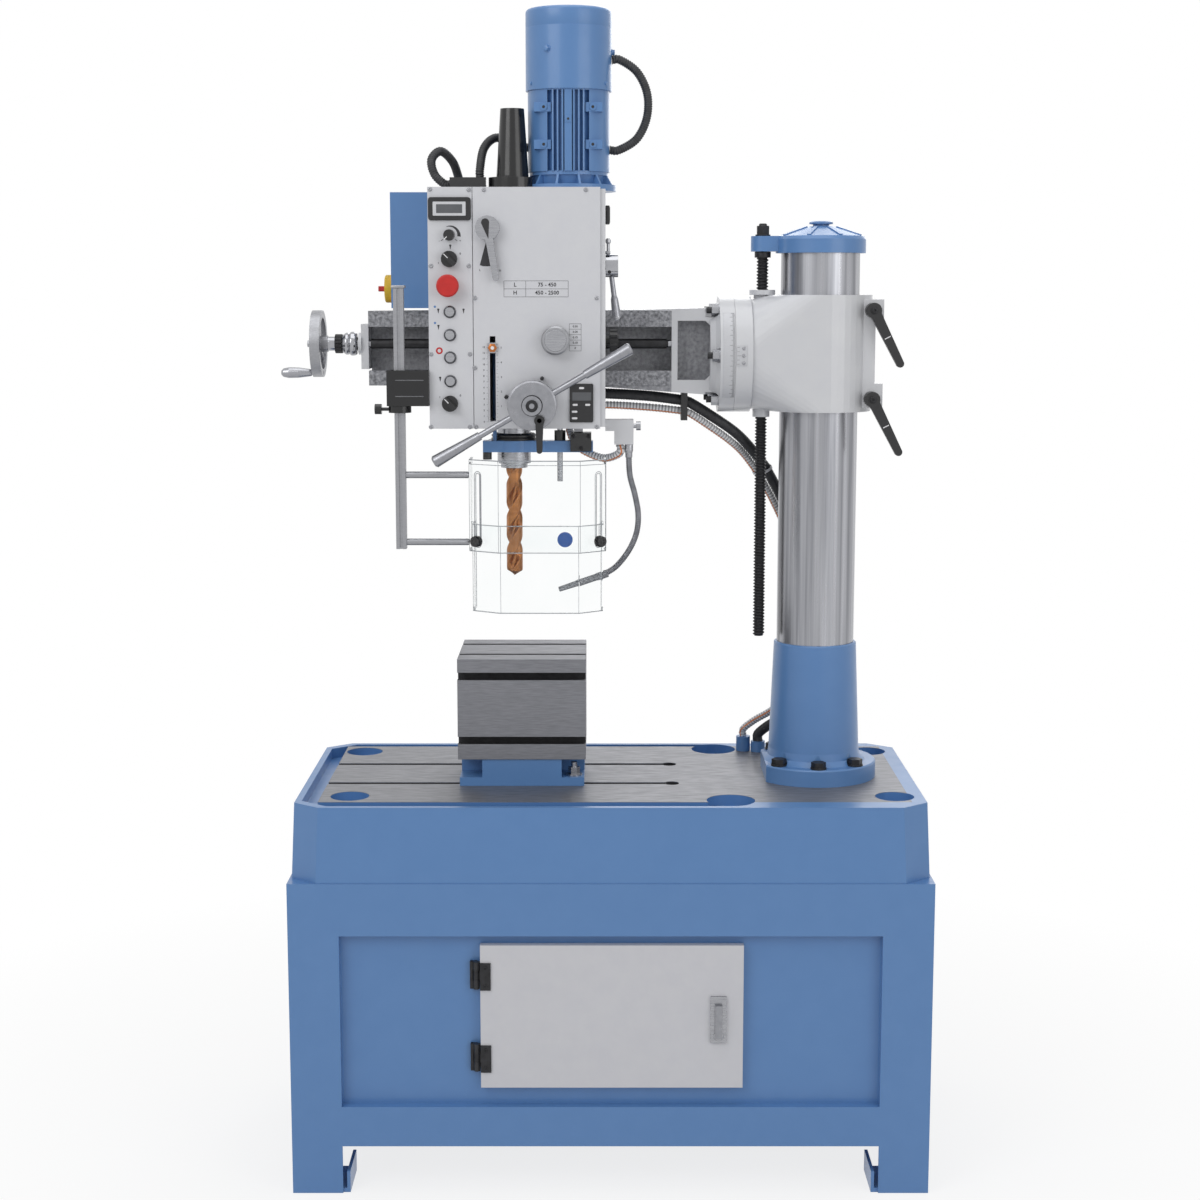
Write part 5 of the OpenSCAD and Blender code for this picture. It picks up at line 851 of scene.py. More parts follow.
def drill_part(centre, top, low, radius):
    """The section turned by one turn per lead; it shrinks to a point below and ends in a round shank."""
    t = angles(ROUND_STEPS)
    above_tip, below_shank = low + DRILL_TIP, top - FINE_FROM
    stations = ((low, above_tip, 6), (above_tip, below_shank, 90), (below_shank, top, 6))
    h = np.concatenate([np.linspace(*s)[min(i, 1) :] for i, s in enumerate(stations)])[:, None]
    grow = np.clip((h - low) / DRILL_TIP, 0.02, 1)
    flat = np.clip((h - (top - RUN_OUT)) / RUN_OVER, 0, 1)
    r = radius * grow * (drill_section(t)[None] * (1 - flat) + SHANK_SHARE * flat)
    a = t[None] + 2 * np.pi * (h - low) / DRILL_LEAD
    return grid_part(np.stack([centre[0] + r * np.cos(a), centre[1] + r * np.sin(a), h + 0 * a], -1))


low, high = box_mm("twist_drill")
shank_zone = [((*(low[:2] - 1), high[2] - SHANK), high + 1, STEEL)]
drill_finish = finish("bronze_drill_steel_shank", BRONZE, shank_zone)
drill = drill_part((low + high) / 2, high[2], low[2], (high[0] - low[0]) / 2)
make("twist_drill_body", [drill], drill_finish, "spindle", ("twist_drill",), sharp=50)
print("drill", low, high)

# %% [markdown]
# ## The front panel
#
# The drawing has the panel's holes and knobs. What is small is added here: screws, display windows, rings
# round the buttons, printed scales and a plain speed table. Prints are thin solids a quarter of a
# millimetre high, so they need no picture. A place on the panel is given by its X and its height Z.

# %% Places and prints
PANEL_Y, PRINT_T = -240.0, 0.25
LONG_TICK, SHORT_TICK, TICK_W = 4.4, 2.4, 0.35
# Figures are made bolder by this share of their size.
BOLD = 0.018
SPEED_KNOB, GEAR_LEVER, FEED_KNOB, STOP_BUTTON = (-281, 1732), (-214, 1744), (-97, 1551), (-283, 1645)
SELECTORS = {"upper_selector": (-281, 1691), "lower_selector": (-282, 1441)}
HUB = (-136.975, 1440.0)


def on_panel(x, z, out=0.0):
    """A point of the front panel, or some millimetres before it."""
    return np.array([x, PANEL_Y - out, z])


def stroke(x, z, width, height):
    """A printed rectangle on the panel."""
    return bar(on_panel(x, z, PRINT_T / 2), (width / 2, 0, 0), (0, 0, height / 2), (0, PRINT_T / 2, 0))


def arc_print(x, z, inner, outer, start, stop, steps=28):
    """A printed arc: a strip between two radii round a centre; the outer one grows evenly along the sweep."""
    s = np.linspace(0, 1, steps)
    a = np.radians(start + (stop - start) * s)
    d = np.stack([np.cos(a), 0 * a, np.sin(a)], -1)
    near, far = inner * d, (outer[0] + (outer[1] - outer[0]) * s)[:, None] * d
    lift = np.array([0, PRINT_T, 0])
    return grid_part(on_panel(x, z) + np.stack([near, far, far - lift, near - lift], 1))


def scale_ticks(count, every, x, side, z, step):
    """A printed scale: ticks one step apart stand on one side of a line, and every so many is longer."""
    lengths = [LONG_TICK if i % every == 0 else SHORT_TICK for i in range(count)]
    return [stroke(x + side * long / 2, z + step * i, long, TICK_W) for i, long in enumerate(lengths)]


def lettering(rows):
    """Plain figures: each (text, x, z, size) is a text curve made a thin mesh and laid on the panel."""
    parts = []
    for text, x, z, size in rows:
        curve = bpy.data.curves.new("figures", "FONT")
        curve.body, curve.size, curve.extrude = text, size, PRINT_T / 2
        curve.align_x, curve.align_y, curve.resolution_u = "CENTER", "CENTER", 2
        curve.offset = BOLD * size
        shape = bpy.data.objects.new("figures", curve)
        mesh = bpy.data.meshes.new_from_object(shape)
        points = np.empty(len(mesh.vertices) * 3, np.float32)
        mesh.vertices.foreach_get("co", points)
        across, up, out = points.reshape(-1, 3).astype(float).T
        laid = on_panel(x, z) + np.stack([across, -out - PRINT_T / 2, up], -1)
        parts.append((laid, [list(face.vertices) for face in mesh.polygons]))
        bpy.data.objects.remove(shape)
        bpy.data.curves.remove(curve)
        bpy.data.meshes.remove(mesh)
    return parts


print("panel helpers ready")

# %% Screws, displays and rings
SCREWS = [(-313, 1810), (-246, 1809), (-220, 1809), (-44, 1809), (-313, 1679), (-247, 1679), (-237, 1624),
          (-25, 1624), (-314.6, 1527), (-246.5, 1527), (-238, 1503), (-316, 1400), (-247.6, 1400),
          (-237, 1400), (-25, 1400)]
make("panel_screws", [cap_screw(on_panel(x, z), FRONT, 2.8) for x, z in SCREWS], bright_steel, "head")


def panel_plate(x, z, out, width, height, corner, thick, ease):
    """A plate with round corners that lies flat on the panel, or some millimetres before it."""
    return plate(rectangle(width, height, corner), on_panel(x, z, out), FRONT, UP, thick, ease)


# Each row: x, z, height over the panel, width, height, corner radius, thickness and eased rim.
DISPLAYS = {
    "speed_display_bezel": ((-279.8, 1776.8, 0, 74, 39.5, 5, 4.4, 1.2), black_plastic),
    "speed_display_frame": ((-280, 1776.8, 4.2, 57, 24, 1, 0.6, 0.2), display_frame),
    "speed_display_glass": ((-280, 1776.8, 4.6, 45, 15, 0.8, 0.5, 0.1), display_glass),
    "depth_display_case": ((-52, 1442, 0, 41.4, 67.4, 2.5, 4.4, 0.8), black_plastic),
    "depth_display_glass": ((-51.5, 1453.6, 4.2, 33, 14.5, 0.8, 0.6, 0.1), display_glass),
}
for name, (size, skin) in DISPLAYS.items():
    make(name, [panel_plate(*size)], skin, "head")
KEYS = [(-51.7, 1468.2, 9), (-63, 1439, 9), (-41, 1439, 9), (-64, 1427, 10), (-64, 1415.5, 10)]
keys = [panel_plate(x, z, 4.3, wide, 3.6, 1.7, 0.5, 0.1) for x, z, wide in KEYS]
make("depth_display_keys", keys, print_white, "head")

BUTTON_X, BUTTON_Z = -281, (1600, 1560, 1521, 1480)
button_ring = [(8.25, 0), (10.9, 0), (10.9, 1.2), (10.2, 2.8), (9.2, 3.4), (8.25, 3.0)]
rings = [ring(button_ring, on_panel(BUTTON_X, z), FRONT) for z in BUTTON_Z]
make("button_rings", rings, button_steel, "head")
stop_disc = [(9.4, 0), (15.4, 0), (15.4, 1.4), (14.8, 2.0), (9.4, 2.0)]
stop_neck = [(9.4, 1.9), (12.5, 1.9), (11.8, 5.6), (9.4, 5.6)]
make("stop_button_disc", [ring(stop_disc, on_panel(*STOP_BUTTON), FRONT)], yellow_plate, "head")
make("stop_button_neck", [ring(stop_neck, on_panel(*STOP_BUTTON), FRONT)], black_plastic, "head")
print(len(SCREWS), "panel screws,", len(DISPLAYS), "display plates,", len(rings), "button rings")

# %% Printed scales and tables
TABLE_X, TABLE_Z = (-186.5, -148.6, -74.8), (1626, 1639.8, 1653.6)
CELLS_X, CELLS_Z, CELL_H = (-73, -52.4), 1532.6, 9.4
TABLE_LINE, CELL_LINE, TABLE_FIGURE, SMALL_FIGURE, SCALE_FIGURE = 0.5, 0.45, 9.5, 5, 4.4
# Each scale: the x of its line, the side that its ticks stand on, its lowest tick and its step.
MM_SCALE, INCH_SCALE = (-213.6, -1, 1409, 2), (-200.4, 1, 1411, 6.35)
MM_FIGURES_X, INCH_FIGURES_X, SPEED_MARK_R, GEAR_WEDGE = -222.5, -192, 15, (-214, 1680)
prints = [arc_print(*SPEED_KNOB, inner=14.5, outer=(15.2, 20.5), start=108, stop=-8)]
for angle in np.radians((215, 325)):
    out = np.array([math.cos(angle), 0, math.sin(angle)])
    middle = on_panel(*SPEED_KNOB, PRINT_T / 2) + SPEED_MARK_R * out
    prints.append(leaning_bar(middle, out, half_long=2.4, half_wide=0.5, half_thick=PRINT_T / 2))
gear_wedge = [(-3, 41), (-14.2, 0.4), (-8.5, -1.2), (-1.5, -1.6), (4.4, -1.0)]
prints.append(plate(gear_wedge, on_panel(*GEAR_WEDGE), FRONT, UP, PRINT_T, 0.05))
prints += [stroke((TABLE_X[0] + TABLE_X[2]) / 2, z, TABLE_X[2] - TABLE_X[0], TABLE_LINE) for z in TABLE_Z]
prints += [stroke(x, (TABLE_Z[0] + TABLE_Z[2]) / 2, TABLE_LINE, TABLE_Z[2] - TABLE_Z[0]) for x in TABLE_X]
cell_x, cell_w = sum(CELLS_X) / 2, CELLS_X[1] - CELLS_X[0]
prints += [stroke(cell_x, CELLS_Z + CELL_H * i, cell_w, CELL_LINE) for i in range(6)]
prints += [stroke(x, CELLS_Z + CELL_H * 2.5, CELL_LINE, 5 * CELL_H) for x in CELLS_X]
prints += scale_ticks(69, 5, *MM_SCALE) + scale_ticks(22, 4, *INCH_SCALE)
SPEEDS = [("L", -167, 1646.7), ("75 - 450", -111.5, 1646.7), ("H", -167, 1632.9),
          ("450 - 2500", -111.5, 1632.9)]
GEAR_MARKS = [("L", -228, 1672), ("H", -193, 1671)]
KNOB_MARKS = [("-", -298, 1722), ("+", -262, 1722), ("0", -262, 1700), ("I", -300, 1684), ("0", -264, 1455),
              ("I", -300, 1452)]
FEEDS = ("0", "0.10", "0.15", "0.20", "0.30")
figures = [(*row, TABLE_FIGURE) for row in SPEEDS] + [(*row, SMALL_FIGURE) for row in GEAR_MARKS]
figures += [(str(i), MM_FIGURES_X, MM_SCALE[2] + 10 * i, SCALE_FIGURE) for i in range(14)]
figures += [(str(i), INCH_FIGURES_X, INCH_SCALE[2] + 25.4 * i, SCALE_FIGURE) for i in range(6)]
figures += [(text, cell_x, CELLS_Z + CELL_H * (i + 0.5), SMALL_FIGURE) for i, text in enumerate(FEEDS)]
figures += [(*row, SMALL_FIGURE) for row in KNOB_MARKS]
make("panel_prints", prints + lettering(figures), print_black, "head", sharp=20)
print(len(prints), "printed marks and", len(figures), "figures")


# %% Small signs
def picto(x, z):
    """A small drill sign: a chuck, a shank and a tip, three printed blocks that get narrower."""
    return [stroke(x, z + 2.4, 3.6, 2.6), stroke(x, z - 0.2, 2.2, 2.4), stroke(x, z - 2.8, 1.2, 2.6)]


SIGNS = ((-301, 1602), (-257, 1602), (-301, 1574), (-299, 1484), (-279, 1712))
DOTS = ((-307, 1609), (-307, 1581))
make("panel_signs", [block for x, z in SIGNS for block in picto(x, z)], print_black, "head", sharp=20)
make("panel_dots", [disc(2, PRINT_T, on_panel(x, z), FRONT, 20) for x, z in DOTS], blue_enamel, "head")
red_ring = [(3.2, 0), (6, 0), (6, PRINT_T), (3.2, PRINT_T)]
make("panel_red_ring", [ring(red_ring, on_panel(-300, 1533), FRONT, 36)], red_plastic, "head")
print(len(SIGNS), "drill signs")

# %% [markdown]
# ## On the knobs and levers
#
# White pointers, a screw in the feed hub and a knurled or turned grip make the controls read at a glance.
# Each rides on its control's own body, so it turns or slides with it.

# %% Pointers of the knobs
# How far the faces of the selectors, the speed knob and the gear lever stand before the panel.
SELECTOR_FACE, SPEED_FACE, GEAR_FACE = 20.15, 15.1, 16.2
SELECTOR_MARK_R, SPEED_MARK = 7, (-286.4, 1726.6)
# The gear lever's pointer is a drop: the centre and radius of its round head, and its tip.
DROP_HEAD, DROP_R, DROP_TIP = (-3.4, 9), 7, (1.9, -19.3)
lean = unit((-1, 0, 1))
for name, place in SELECTORS.items():
    middle = on_panel(*place, SELECTOR_FACE) + SELECTOR_MARK_R * lean
    pointer = leaning_bar(middle, lean, half_long=5, half_wide=0.7, half_thick=0.25)
    make(name + "_pointer", [pointer], print_white, name)
middle = on_panel(*SPEED_MARK, SPEED_FACE)
pointer = leaning_bar(middle, np.array([1, 0, 1]), half_long=2.4, half_wide=0.5, half_thick=0.2)
make("speed_knob_pointer", [pointer], print_white, "speed_knob")
t = np.radians(np.linspace(-14, 194, 25))[:, None]
teardrop = np.vstack([DROP_HEAD + DROP_R * np.hstack([np.cos(t), np.sin(t)]), [DROP_TIP]])
teardrop_plate = plate(teardrop, on_panel(*GEAR_LEVER, GEAR_FACE), FRONT, UP, 1.4, 0.4)
make("gear_lever_pointer", [teardrop_plate], black_plastic, "gear_shift")
print("pointers made")

# %% Feed hub, clutch, depth pointer and side lever
# How far these faces stand before the panel, and the circle of the two stop pins.
HUB_FACE, HUB_STEP, KNOB_FACE, STOP_CIRCLE = 63.9, 53.9, 24.9, 48
DEPTH_POINTER, LEVER_Y = (-207, 1538), -190
hub_screw = [(0, 0), (10.5, 0), (10.5, 3), (9.6, 4.3), (4.6, 4.3), (4.4, 1.6), (0, 1.6)]
hub_ring = [(17.2, 0), (18.6, 0), (18.4, 0.6), (17.2, 0.8)]
hub_parts = [turned(hub_screw, on_panel(*HUB, HUB_FACE), FRONT, 36),
             ring(hub_ring, on_panel(*HUB, HUB_STEP), FRONT)]
make("feed_hub_screw", hub_parts, black_steel, "feed")
knob_face = [(0, 0), (19, 0), (18.4, 0.9), (8, 0.6), (0, 0.6)]
knob_part = turned(knob_face, on_panel(*FEED_KNOB, KNOB_FACE), FRONT)
make("feed_knob_face", [knob_part], bright_steel, "feed_select")
stop_pin = [(0, 0), (3.4, 0), (3.4, 20), (2.6, 22), (0, 22)]
pin_ways = [np.array([math.cos(a), 0, math.sin(a)]) for a in np.radians((70, 164))]
stop_pins = [turned(stop_pin, on_panel(*HUB) + STOP_CIRCLE * way, FRONT, 20) for way in pin_ways]
make("feed_stops", stop_pins, black_steel, "head")
flush_screw = [(0, 0), (4.2, 0), (4.1, 0.04), (0, 0.04)]
clutch_end = (HUB[0] + 13, -308.26, HUB[1] - 25)
make("clutch_lever_screw", [turned(flush_screw, clutch_end, FRONT, 24)], bright_steel, "clutch")
pointer = hex_head(on_panel(*DEPTH_POINTER, 2.5), FRONT, 14, 4.8)
make("depth_pointer", [pointer], copper, "quill", sharp=30)
eye = disc(3.1, 0.6, on_panel(*DEPTH_POINTER, 7.1), FRONT)
make("depth_pointer_eye", [eye], print_white, "quill")
grip_from, grip_to = np.array([1.0, LEVER_Y, 1661]), np.array([10.4, LEVER_Y, 1587])
long = float(np.linalg.norm(grip_to - grip_from))
grip = [(0, 0), (4.3, 0), (4.6, 0.45 * long), (6.4, 0.52 * long), (8.2, 0.94 * long), (6.6, long), (0, long)]
make("side_lever_grip", [turned(grip, grip_from, grip_to - grip_from, 32, 1.0)], satin_steel, "side_lever")
# A black disc stands in for the pin hole in the lever: painted shade inside it.
pin_hole = disc(3.2, 0.4, (-3, LEVER_Y - 16.7, 1669), (0, -0.835, -0.55))
make("side_lever_hole_shade", [pin_hole], black_plastic, "side_lever")
print(f"side lever's grip {long:.0f} mm")

# %% [markdown]
# ## Motor and head
#
# The motor's cowl is held by three bolts round its side and four small screws above its rim. The cowl's top
# has a square edge, so a turned rim lies over the solid's rounder one. A place on the motor is a radius, an
# angle and a height, which is how a maker marks out a cylinder.

# %% Motor bolts and cowl
MOTOR = np.array([-75.0, -118.14, 1811.0])
# Radius and height of the cowl's bolts and screws; radius, angle and height of the boss on the front.
BOLTS, SMALL_SCREWS, BOSS = (75.6, 242), (75.7, 185), (72.0, 0, 122)
HOLES_X, HOLES_Y, HOLES_Z = (-43, 43), -64, (79, 143)


def round_motor(radius, angle, up):
    """A point on a cylinder about the motor's axis, and the way out of it; zero faces the operator."""
    a = math.radians(angle)
    out = np.array([math.sin(a), -math.cos(a), 0])
    return MOTOR + radius * out + np.array([0, 0, up]), out


bolt_washer = [(0, 0), (7, 0), (6.4, 1.6), (0, 1.6)]
small_screw = [(0, 0), (3.4, 0), (3.2, 1.6), (1.4, 2.4), (0, 2.5)]
bolts = []
for angle in (-28.6, 91.4, 211.4):
    base, out = round_motor(BOLTS[0], angle, BOLTS[1])
    bolts += [hex_head(base, out, 9, 6), turned(bolt_washer, base, out, 24)]
for angle in (-59.5, 59.5, 120.5, -120.5):
    base, out = round_motor(SMALL_SCREWS[0], angle, SMALL_SCREWS[1])
    bolts.append(turned(small_screw, base, out, 20))
boss = round_motor(*BOSS)[0]
bolts.append(rounded_box(boss - [6, 1.6, 6], boss + [6, 1, 6], 0.6))
make("motor_bolts", bolts, blue_enamel, "head")
# Black discs lie where the boss and the housing have holes: painted shade in place of the holes.
holes = [disc(2.2, 0.3, boss - [0, 1.6, 0], FRONT, 20)]
holes += [disc(2.6, 0.3, MOTOR + [x, HOLES_Y, z], FRONT, 20) for x in HOLES_X for z in HOLES_Z]
make("motor_hole_shades", holes, black_plastic, "head")
cowl_top = box_mm("motor_cowl")[1][2]
bend = np.radians(np.linspace(0, 80, 7))
rim_corner = zip(69 + 7 * np.cos(bend), 134 + 7 * np.sin(bend))
rim = [(75, 106), (76, 108.5), *rim_corner, (60, 141.9), (58.4, 141.2), (58.2, 136), (72, 116)]
make("cowl_rim", [ring(rim, (*MOTOR[:2], cowl_top - 142), UP, 96)], blue_enamel, "head")
print(len(bolts), "motor bolts, cowl top at", cowl_top)

# %% Main switch
SWITCH, SWITCH_BASE_X = (5, 1640), -404.1
# How far in from the handle's outer face its round foot and its bar start.
FOOT_IN, HANDLE_IN = 24, 14
switch_x = box_mm("main_switch")[0][0]
knob = [(0, 0), (16, 0), (16, 10.5), (14.5, 12), (0, 12)]
half_handle = [(-22, -3.4), (-20, -5), (-8, -4), (8, -4), (20, -5), (22, -3.4)]
handle = half_handle + [(-x, -y) for x, y in half_handle]
switch_parts = [turned(knob, (switch_x + FOOT_IN, *SWITCH), LEFT, 40),
                plate(handle, (switch_x + HANDLE_IN, *SWITCH), LEFT, UP, HANDLE_IN, 1.5)]
make("switch_handle", switch_parts, red_plastic, "main_switch", ("main_switch",))
print("switch handle from", switch_x)

# %% [markdown]
# ## The column's cap
#
# Eight flat ribs run down the cone of the column's cap. Each is a block whose long edge follows the slope
# and whose third edge stands square to it, so one vector product gives each direction.

# %% Ribs on the column cap
COLUMN_X, CONE_RUN, CONE_FALL = 388, 48.0, 15.7
# A rib's middle: below the cap's top and out from the column; then half its length, width and height.
RIB_DROP, RIB_OUT, RIB_LONG, RIB_WIDE, RIB_HIGH = 18.5, 53, 24.5, 3.2, 1.9
cap_top = box_mm("column_cap")[1][2]
ribs = []
for angle in np.radians(np.arange(22.5, 360, 45)):
    out = np.array([math.cos(angle), math.sin(angle), 0])
    down = unit(CONE_RUN * out - [0, 0, CONE_FALL])
    across = unit(np.cross(down, UP))
    middle = np.array([COLUMN_X, 0, cap_top - RIB_DROP]) + RIB_OUT * out
    ribs.append(bar(middle, RIB_LONG * down, RIB_WIDE * across, RIB_HIGH * np.cross(down, across)))
make("cap_ribs", ribs, blue_enamel, "cap")
print(len(ribs), "ribs on the cap")

# %% [markdown]
# ## Trim on the head and the quill
#
# A yellow ring under the main switch, a vent with seven louvres, a sprung catch and the rings round the
# quill are turned or rounded shapes. They are small, but they break up the plain sides as on the real head.

# %% Switch base, vent, catch and quill rings
QUILL, GUIDE_Z, BUFFER_Z = (-174, -150), 1400, 1372
# The vent's plate, the rim that it leaves round the louvres, and a louvre's width and step.
VENT_Y, VENT_Z, VENT_RIM, LOUVRE_WIDE, LOUVRE_STEP = (-202, -160), (1752, 1784), 3, 3, 6
BRACKET_SCREWS, CLAMP_SCREW = ((-67, 1381), (-40, 1381), (-53, 1360)), (-169, -192.1, 1362)
switch_base = [(16.7, 0), (25.5, 0), (25.5, 11), (23.5, 13), (16.7, 13)]
make("switch_base", [ring(switch_base, (SWITCH_BASE_X, *SWITCH), LEFT)], yellow_plate, "head")
vent_plate = rounded_box((-10, VENT_Y[0], VENT_Z[0]), (-2.5, VENT_Y[1], VENT_Z[1]), 1.5)
foot_z, top_z = VENT_Z[0] + VENT_RIM, VENT_Z[1] - VENT_RIM
louvres_y = range(VENT_Y[0] + VENT_RIM, VENT_Y[1], LOUVRE_STEP)
louvres = [rounded_box((-3, y, foot_z), (-1.8, y + LOUVRE_WIDE, top_z), 0.5) for y in louvres_y]
make("head_vent", [vent_plate, *louvres], black_plastic, "head")
catch_pin = [(0, 0), (3, 0), (3, 16), (4.6, 19), (4.6, 24), (3, 26), (0, 26)]
catch_block = rounded_box((-10, -177, 1700), (-1, -167, 1706), 1)
catch_parts = [turned(catch_pin, (-5, -172, 1702), UP, 24, 0.5), catch_block]
make("head_catch", catch_parts, chrome, "head")
guide = [(30.6, 0), (37, 0), (36, 5.5), (30.6, 5.5)]
make("quill_guide_ring", [ring(guide, (*QUILL, GUIDE_Z), DOWN, 64)], blue_enamel, "head")
buffer = [(30.8, 0), (41, 0), (41, 3), (38.6, 4), (38.6, 5), (40.4, 6), (40.4, 9), (36, 12), (30.8, 12)]
make("quill_buffer", [ring(buffer, (*QUILL, BUFFER_Z), UP, 64)], black_plastic, "quill")
screws = [cap_screw((x, -200, z), FRONT, 2.6) for x, z in BRACKET_SCREWS]
make("bracket_screws", [*screws, cap_screw(CLAMP_SCREW, FRONT, 3.2)], black_steel, "quill")
print(len(louvres), "louvres in the vent")

# %% [markdown]
# ## The chip guard
#
# The guard's post is an extruded section with a groove in each side; its outline is one side's five points,
# turned four times. A sawn or folded edge of clear sheet looks grey, because light leaves it at another
# angle than the flat sheet, so thin grey strips and rods lie along the edges, the folds and the slots.

# %% Post and knobs
POST, POST_Z, ARMS_Z = np.array([-371.0, -230.0]), (1184.0, 1641.0), (1315, 1196)
CAP_HALF, CAP_HIGH, KNOB_Z = 12, 5, 1198
# Where a knob sits on each wing of the shield, and the way out of that wing.
WINGS = (((-235.1, -236.8), (-0.562, -0.827, 0)), ((-22.5, -236.8), (0.625, -0.781, 0)))
side = np.array([(-9, -9), (-2.6, -9), (-2.6, -5.8), (2.6, -5.8), (2.6, -9)])
outline = np.vstack([side @ np.array([(c, s), (-s, c)]) for c, s in ((1, 0), (0, 1), (-1, 0), (0, -1))])
post_rows = [np.column_stack([POST + outline, np.full(len(outline), z)]) for z in POST_Z]
tube = [(0, 0), (6, 0), (6, 118), (5, 119.6), (0, 119.6)]
post_parts = [grid_part(np.stack(post_rows)), *(turned(tube, (*POST, z), RIGHT, 28) for z in ARMS_Z)]
make("slotted_post", post_parts, aluminium, "guard", ("guard_post",))
cap_low, cap_high = (*(POST - CAP_HALF), POST_Z[1]), (*(POST + CAP_HALF), POST_Z[1] + CAP_HIGH)
post_cap = rounded_box(cap_low, cap_high, 1.2)
make("post_cap", [post_cap], aluminium, "guard", ("guard_post",))
# Two thin mid-grey strips across the black holder.
holder_ribs = [plate(rectangle(50, 1.6, 0.7), (-352, -252, z), FRONT, UP, 1.0, 0.4) for z in (1482, 1454)]
make("holder_ribs", holder_ribs, grey_rib_finish, "head")


def knurled(angle):
    """A knob's grip: a shallow wave, eighteen ribs round it."""
    return 1 + 0.025 * np.cos(18 * angle)


knob = [(0, 0), (9.5, 0), (9.8, 1.5), (9.8, 9.5), (8.4, 12.6), (4, 12.6), (3.6, 11.6), (0, 11.6)]
knobs = [turned(knob, (*place, KNOB_Z), axis, 72, swell=knurled) for place, axis in WINGS]
make("shield_knobs", knobs, black_plastic, "lower_shield")
make("shield_disc", [disc(13.5, 0.25, (-81, -257.05, 1203), FRONT, 48)], sign_blue, "lower_shield")
print("post outline", len(outline), "points")

# %% Edges of the clear sheets
SHIELD_X, SHIELD_Y, SHEET_T = (-251, -198, -54, -9), (-262, -226, -172), 4.0
# The lower sheet slides this far inside the upper one; strips stand proud of a sheet by a little.
LOWER_IN, PROUD = 5, 0.12
EDGE_R, FOLD_R, SLOT_EDGE_R = 0.7, 0.45, 0.65


def sheet_line(inward):
    """The bent sheet's line from above, moved inward from its outer face."""
    (x0, x1, x2, x3), (y0, y1, y2), o = SHIELD_X, SHIELD_Y, inward
    left = [(x0 + o, y2), (x0 + o, y1 + o / 2), (x1 + o / 3, y0 + o)]
    return np.array([*left, (x2 - o / 3, y0 + o), (x3 - o, y1 + o / 2), (x3 - o, y2)])


def edge_strip(inward, low, high):
    """A strip over the sheet's cut edge: at each corner of the line, four points round its thickness."""
    out, back = sheet_line(inward - PROUD), sheet_line(inward + SHEET_T + PROUD)
    corners = ((out, low), (out, high), (back, high), (back, low))
    return grid_part(np.stack([np.column_stack([line, np.full(len(line), z)]) for line, z in corners], 1))


def folds(inward, low, high):
    """A thin rod at each corner of the line, thicker at the two upright edges than at the folds."""
    corners = sheet_line(inward)
    radius = np.full(len(corners), FOLD_R)
    radius[[0, -1]] = EDGE_R
    return [disc(r, high - low, (*corner, low), UP, 10) for r, corner in zip(radius, corners)]


def slot_rim(centre, axis, low, high, half):
    """The rim of an upright slot: a thin tube along two straight sides and two half circles."""
    u = np.array([-axis[1], axis[0], 0.0])
    t = np.linspace(0, np.pi, 9)
    top = [(half * math.cos(a), high - half + half * math.sin(a)) for a in t]
    foot = [(-half * math.cos(a), low + half - half * math.sin(a)) for a in t]
    route = np.array([(*centre, 0) + w * u + np.array([0, 0, z]) for w, z in [*top, *foot, top[0]]])
    return swept(route, lambda s, t: SLOT_EDGE_R + 0 * s * t, 8, 2.0, side=axis)


upper_edges = [edge_strip(0, *z) for z in ((1340.6, 1342.1), (1333.4, 1334.2), (1178.9, 1180.3))]
upper_edges += folds(0, 1180, 1341)
for place, axis in WINGS:
    at = np.array(place) + 0.4 * np.array(axis[:2])
    upper_edges += [slot_rim(at, axis, 1189.5, 1318.5, 4.3), slot_rim(at, axis, 1186.5, 1321.5, 7.3)]
make("upper_shield_edges", upper_edges, edge_grey, "guard")
lower_edges = [edge_strip(LOWER_IN, *z) for z in ((1070.9, 1072.3), (1225.8, 1227.1))]
lower_edges += folds(LOWER_IN + SHEET_T, 1072, 1226)
make("lower_shield_edges", lower_edges, edge_grey, "lower_shield")
print("edges:", len(upper_edges) + len(lower_edges))

# %% [markdown]
# ## Arm and collar
#
# The tilt scale lies on the arm's round flange, one tick to a degree, and a short plate with its own ticks
# sits beside it on the collar. Each tick is a small block set square to the flange, so it keeps its edge in
# close-ups.

# %% Tilt scale
FLANGE_Z, FLANGE_R = 1520.0, 106.5
# Both bands by their two edges along X, the lines that their ticks start from, and the line of the screws.
SCALE_X, SCALE_LINE, VERNIER_X, VERNIER_LINE, SCREW_LINE = (204, 225.5), 225, (228.5, 247), 229, 241


def out_of_flange(degrees):
    """The way out of the flange's rim; zero degrees faces the operator and the angle climbs upward."""
    a = math.radians(degrees)
    return np.array([0, -math.cos(a), math.sin(a)])


def on_flange(x, degrees, out=0.0):
    """A point on the flange's rim, or some millimetres out of it."""
    return np.array([x, 0, FLANGE_Z]) + (FLANGE_R + out) * out_of_flange(degrees)


def rim_strip(x0, x1, start, stop, thick, steps=40):
    """A strip bent round the flange: at each angle, four corners between two places along X and two radii."""
    corners = ((x0, -0.2), (x1, -0.2), (x1, thick), (x0, thick))
    rows = [[on_flange(x, d, out) for x, out in corners] for d in np.linspace(start, stop, steps)]
    return grid_part(np.array(rows))


def rim_tick(x0, x1, degrees, out):
    """A tick across the flange's rim."""
    way = out_of_flange(degrees)
    round_rim = np.array([0, way[2], -way[1]])
    return bar(on_flange((x0 + x1) / 2, degrees, out), ((x1 - x0) / 2, 0, 0), 0.22 * round_rim, 0.1 * way)


def tick_length(degrees):
    """Long at each ten degrees, middling at each five, short between."""
    return 9 if degrees % 10 == 0 else 6.5 if degrees % 5 == 0 else 4


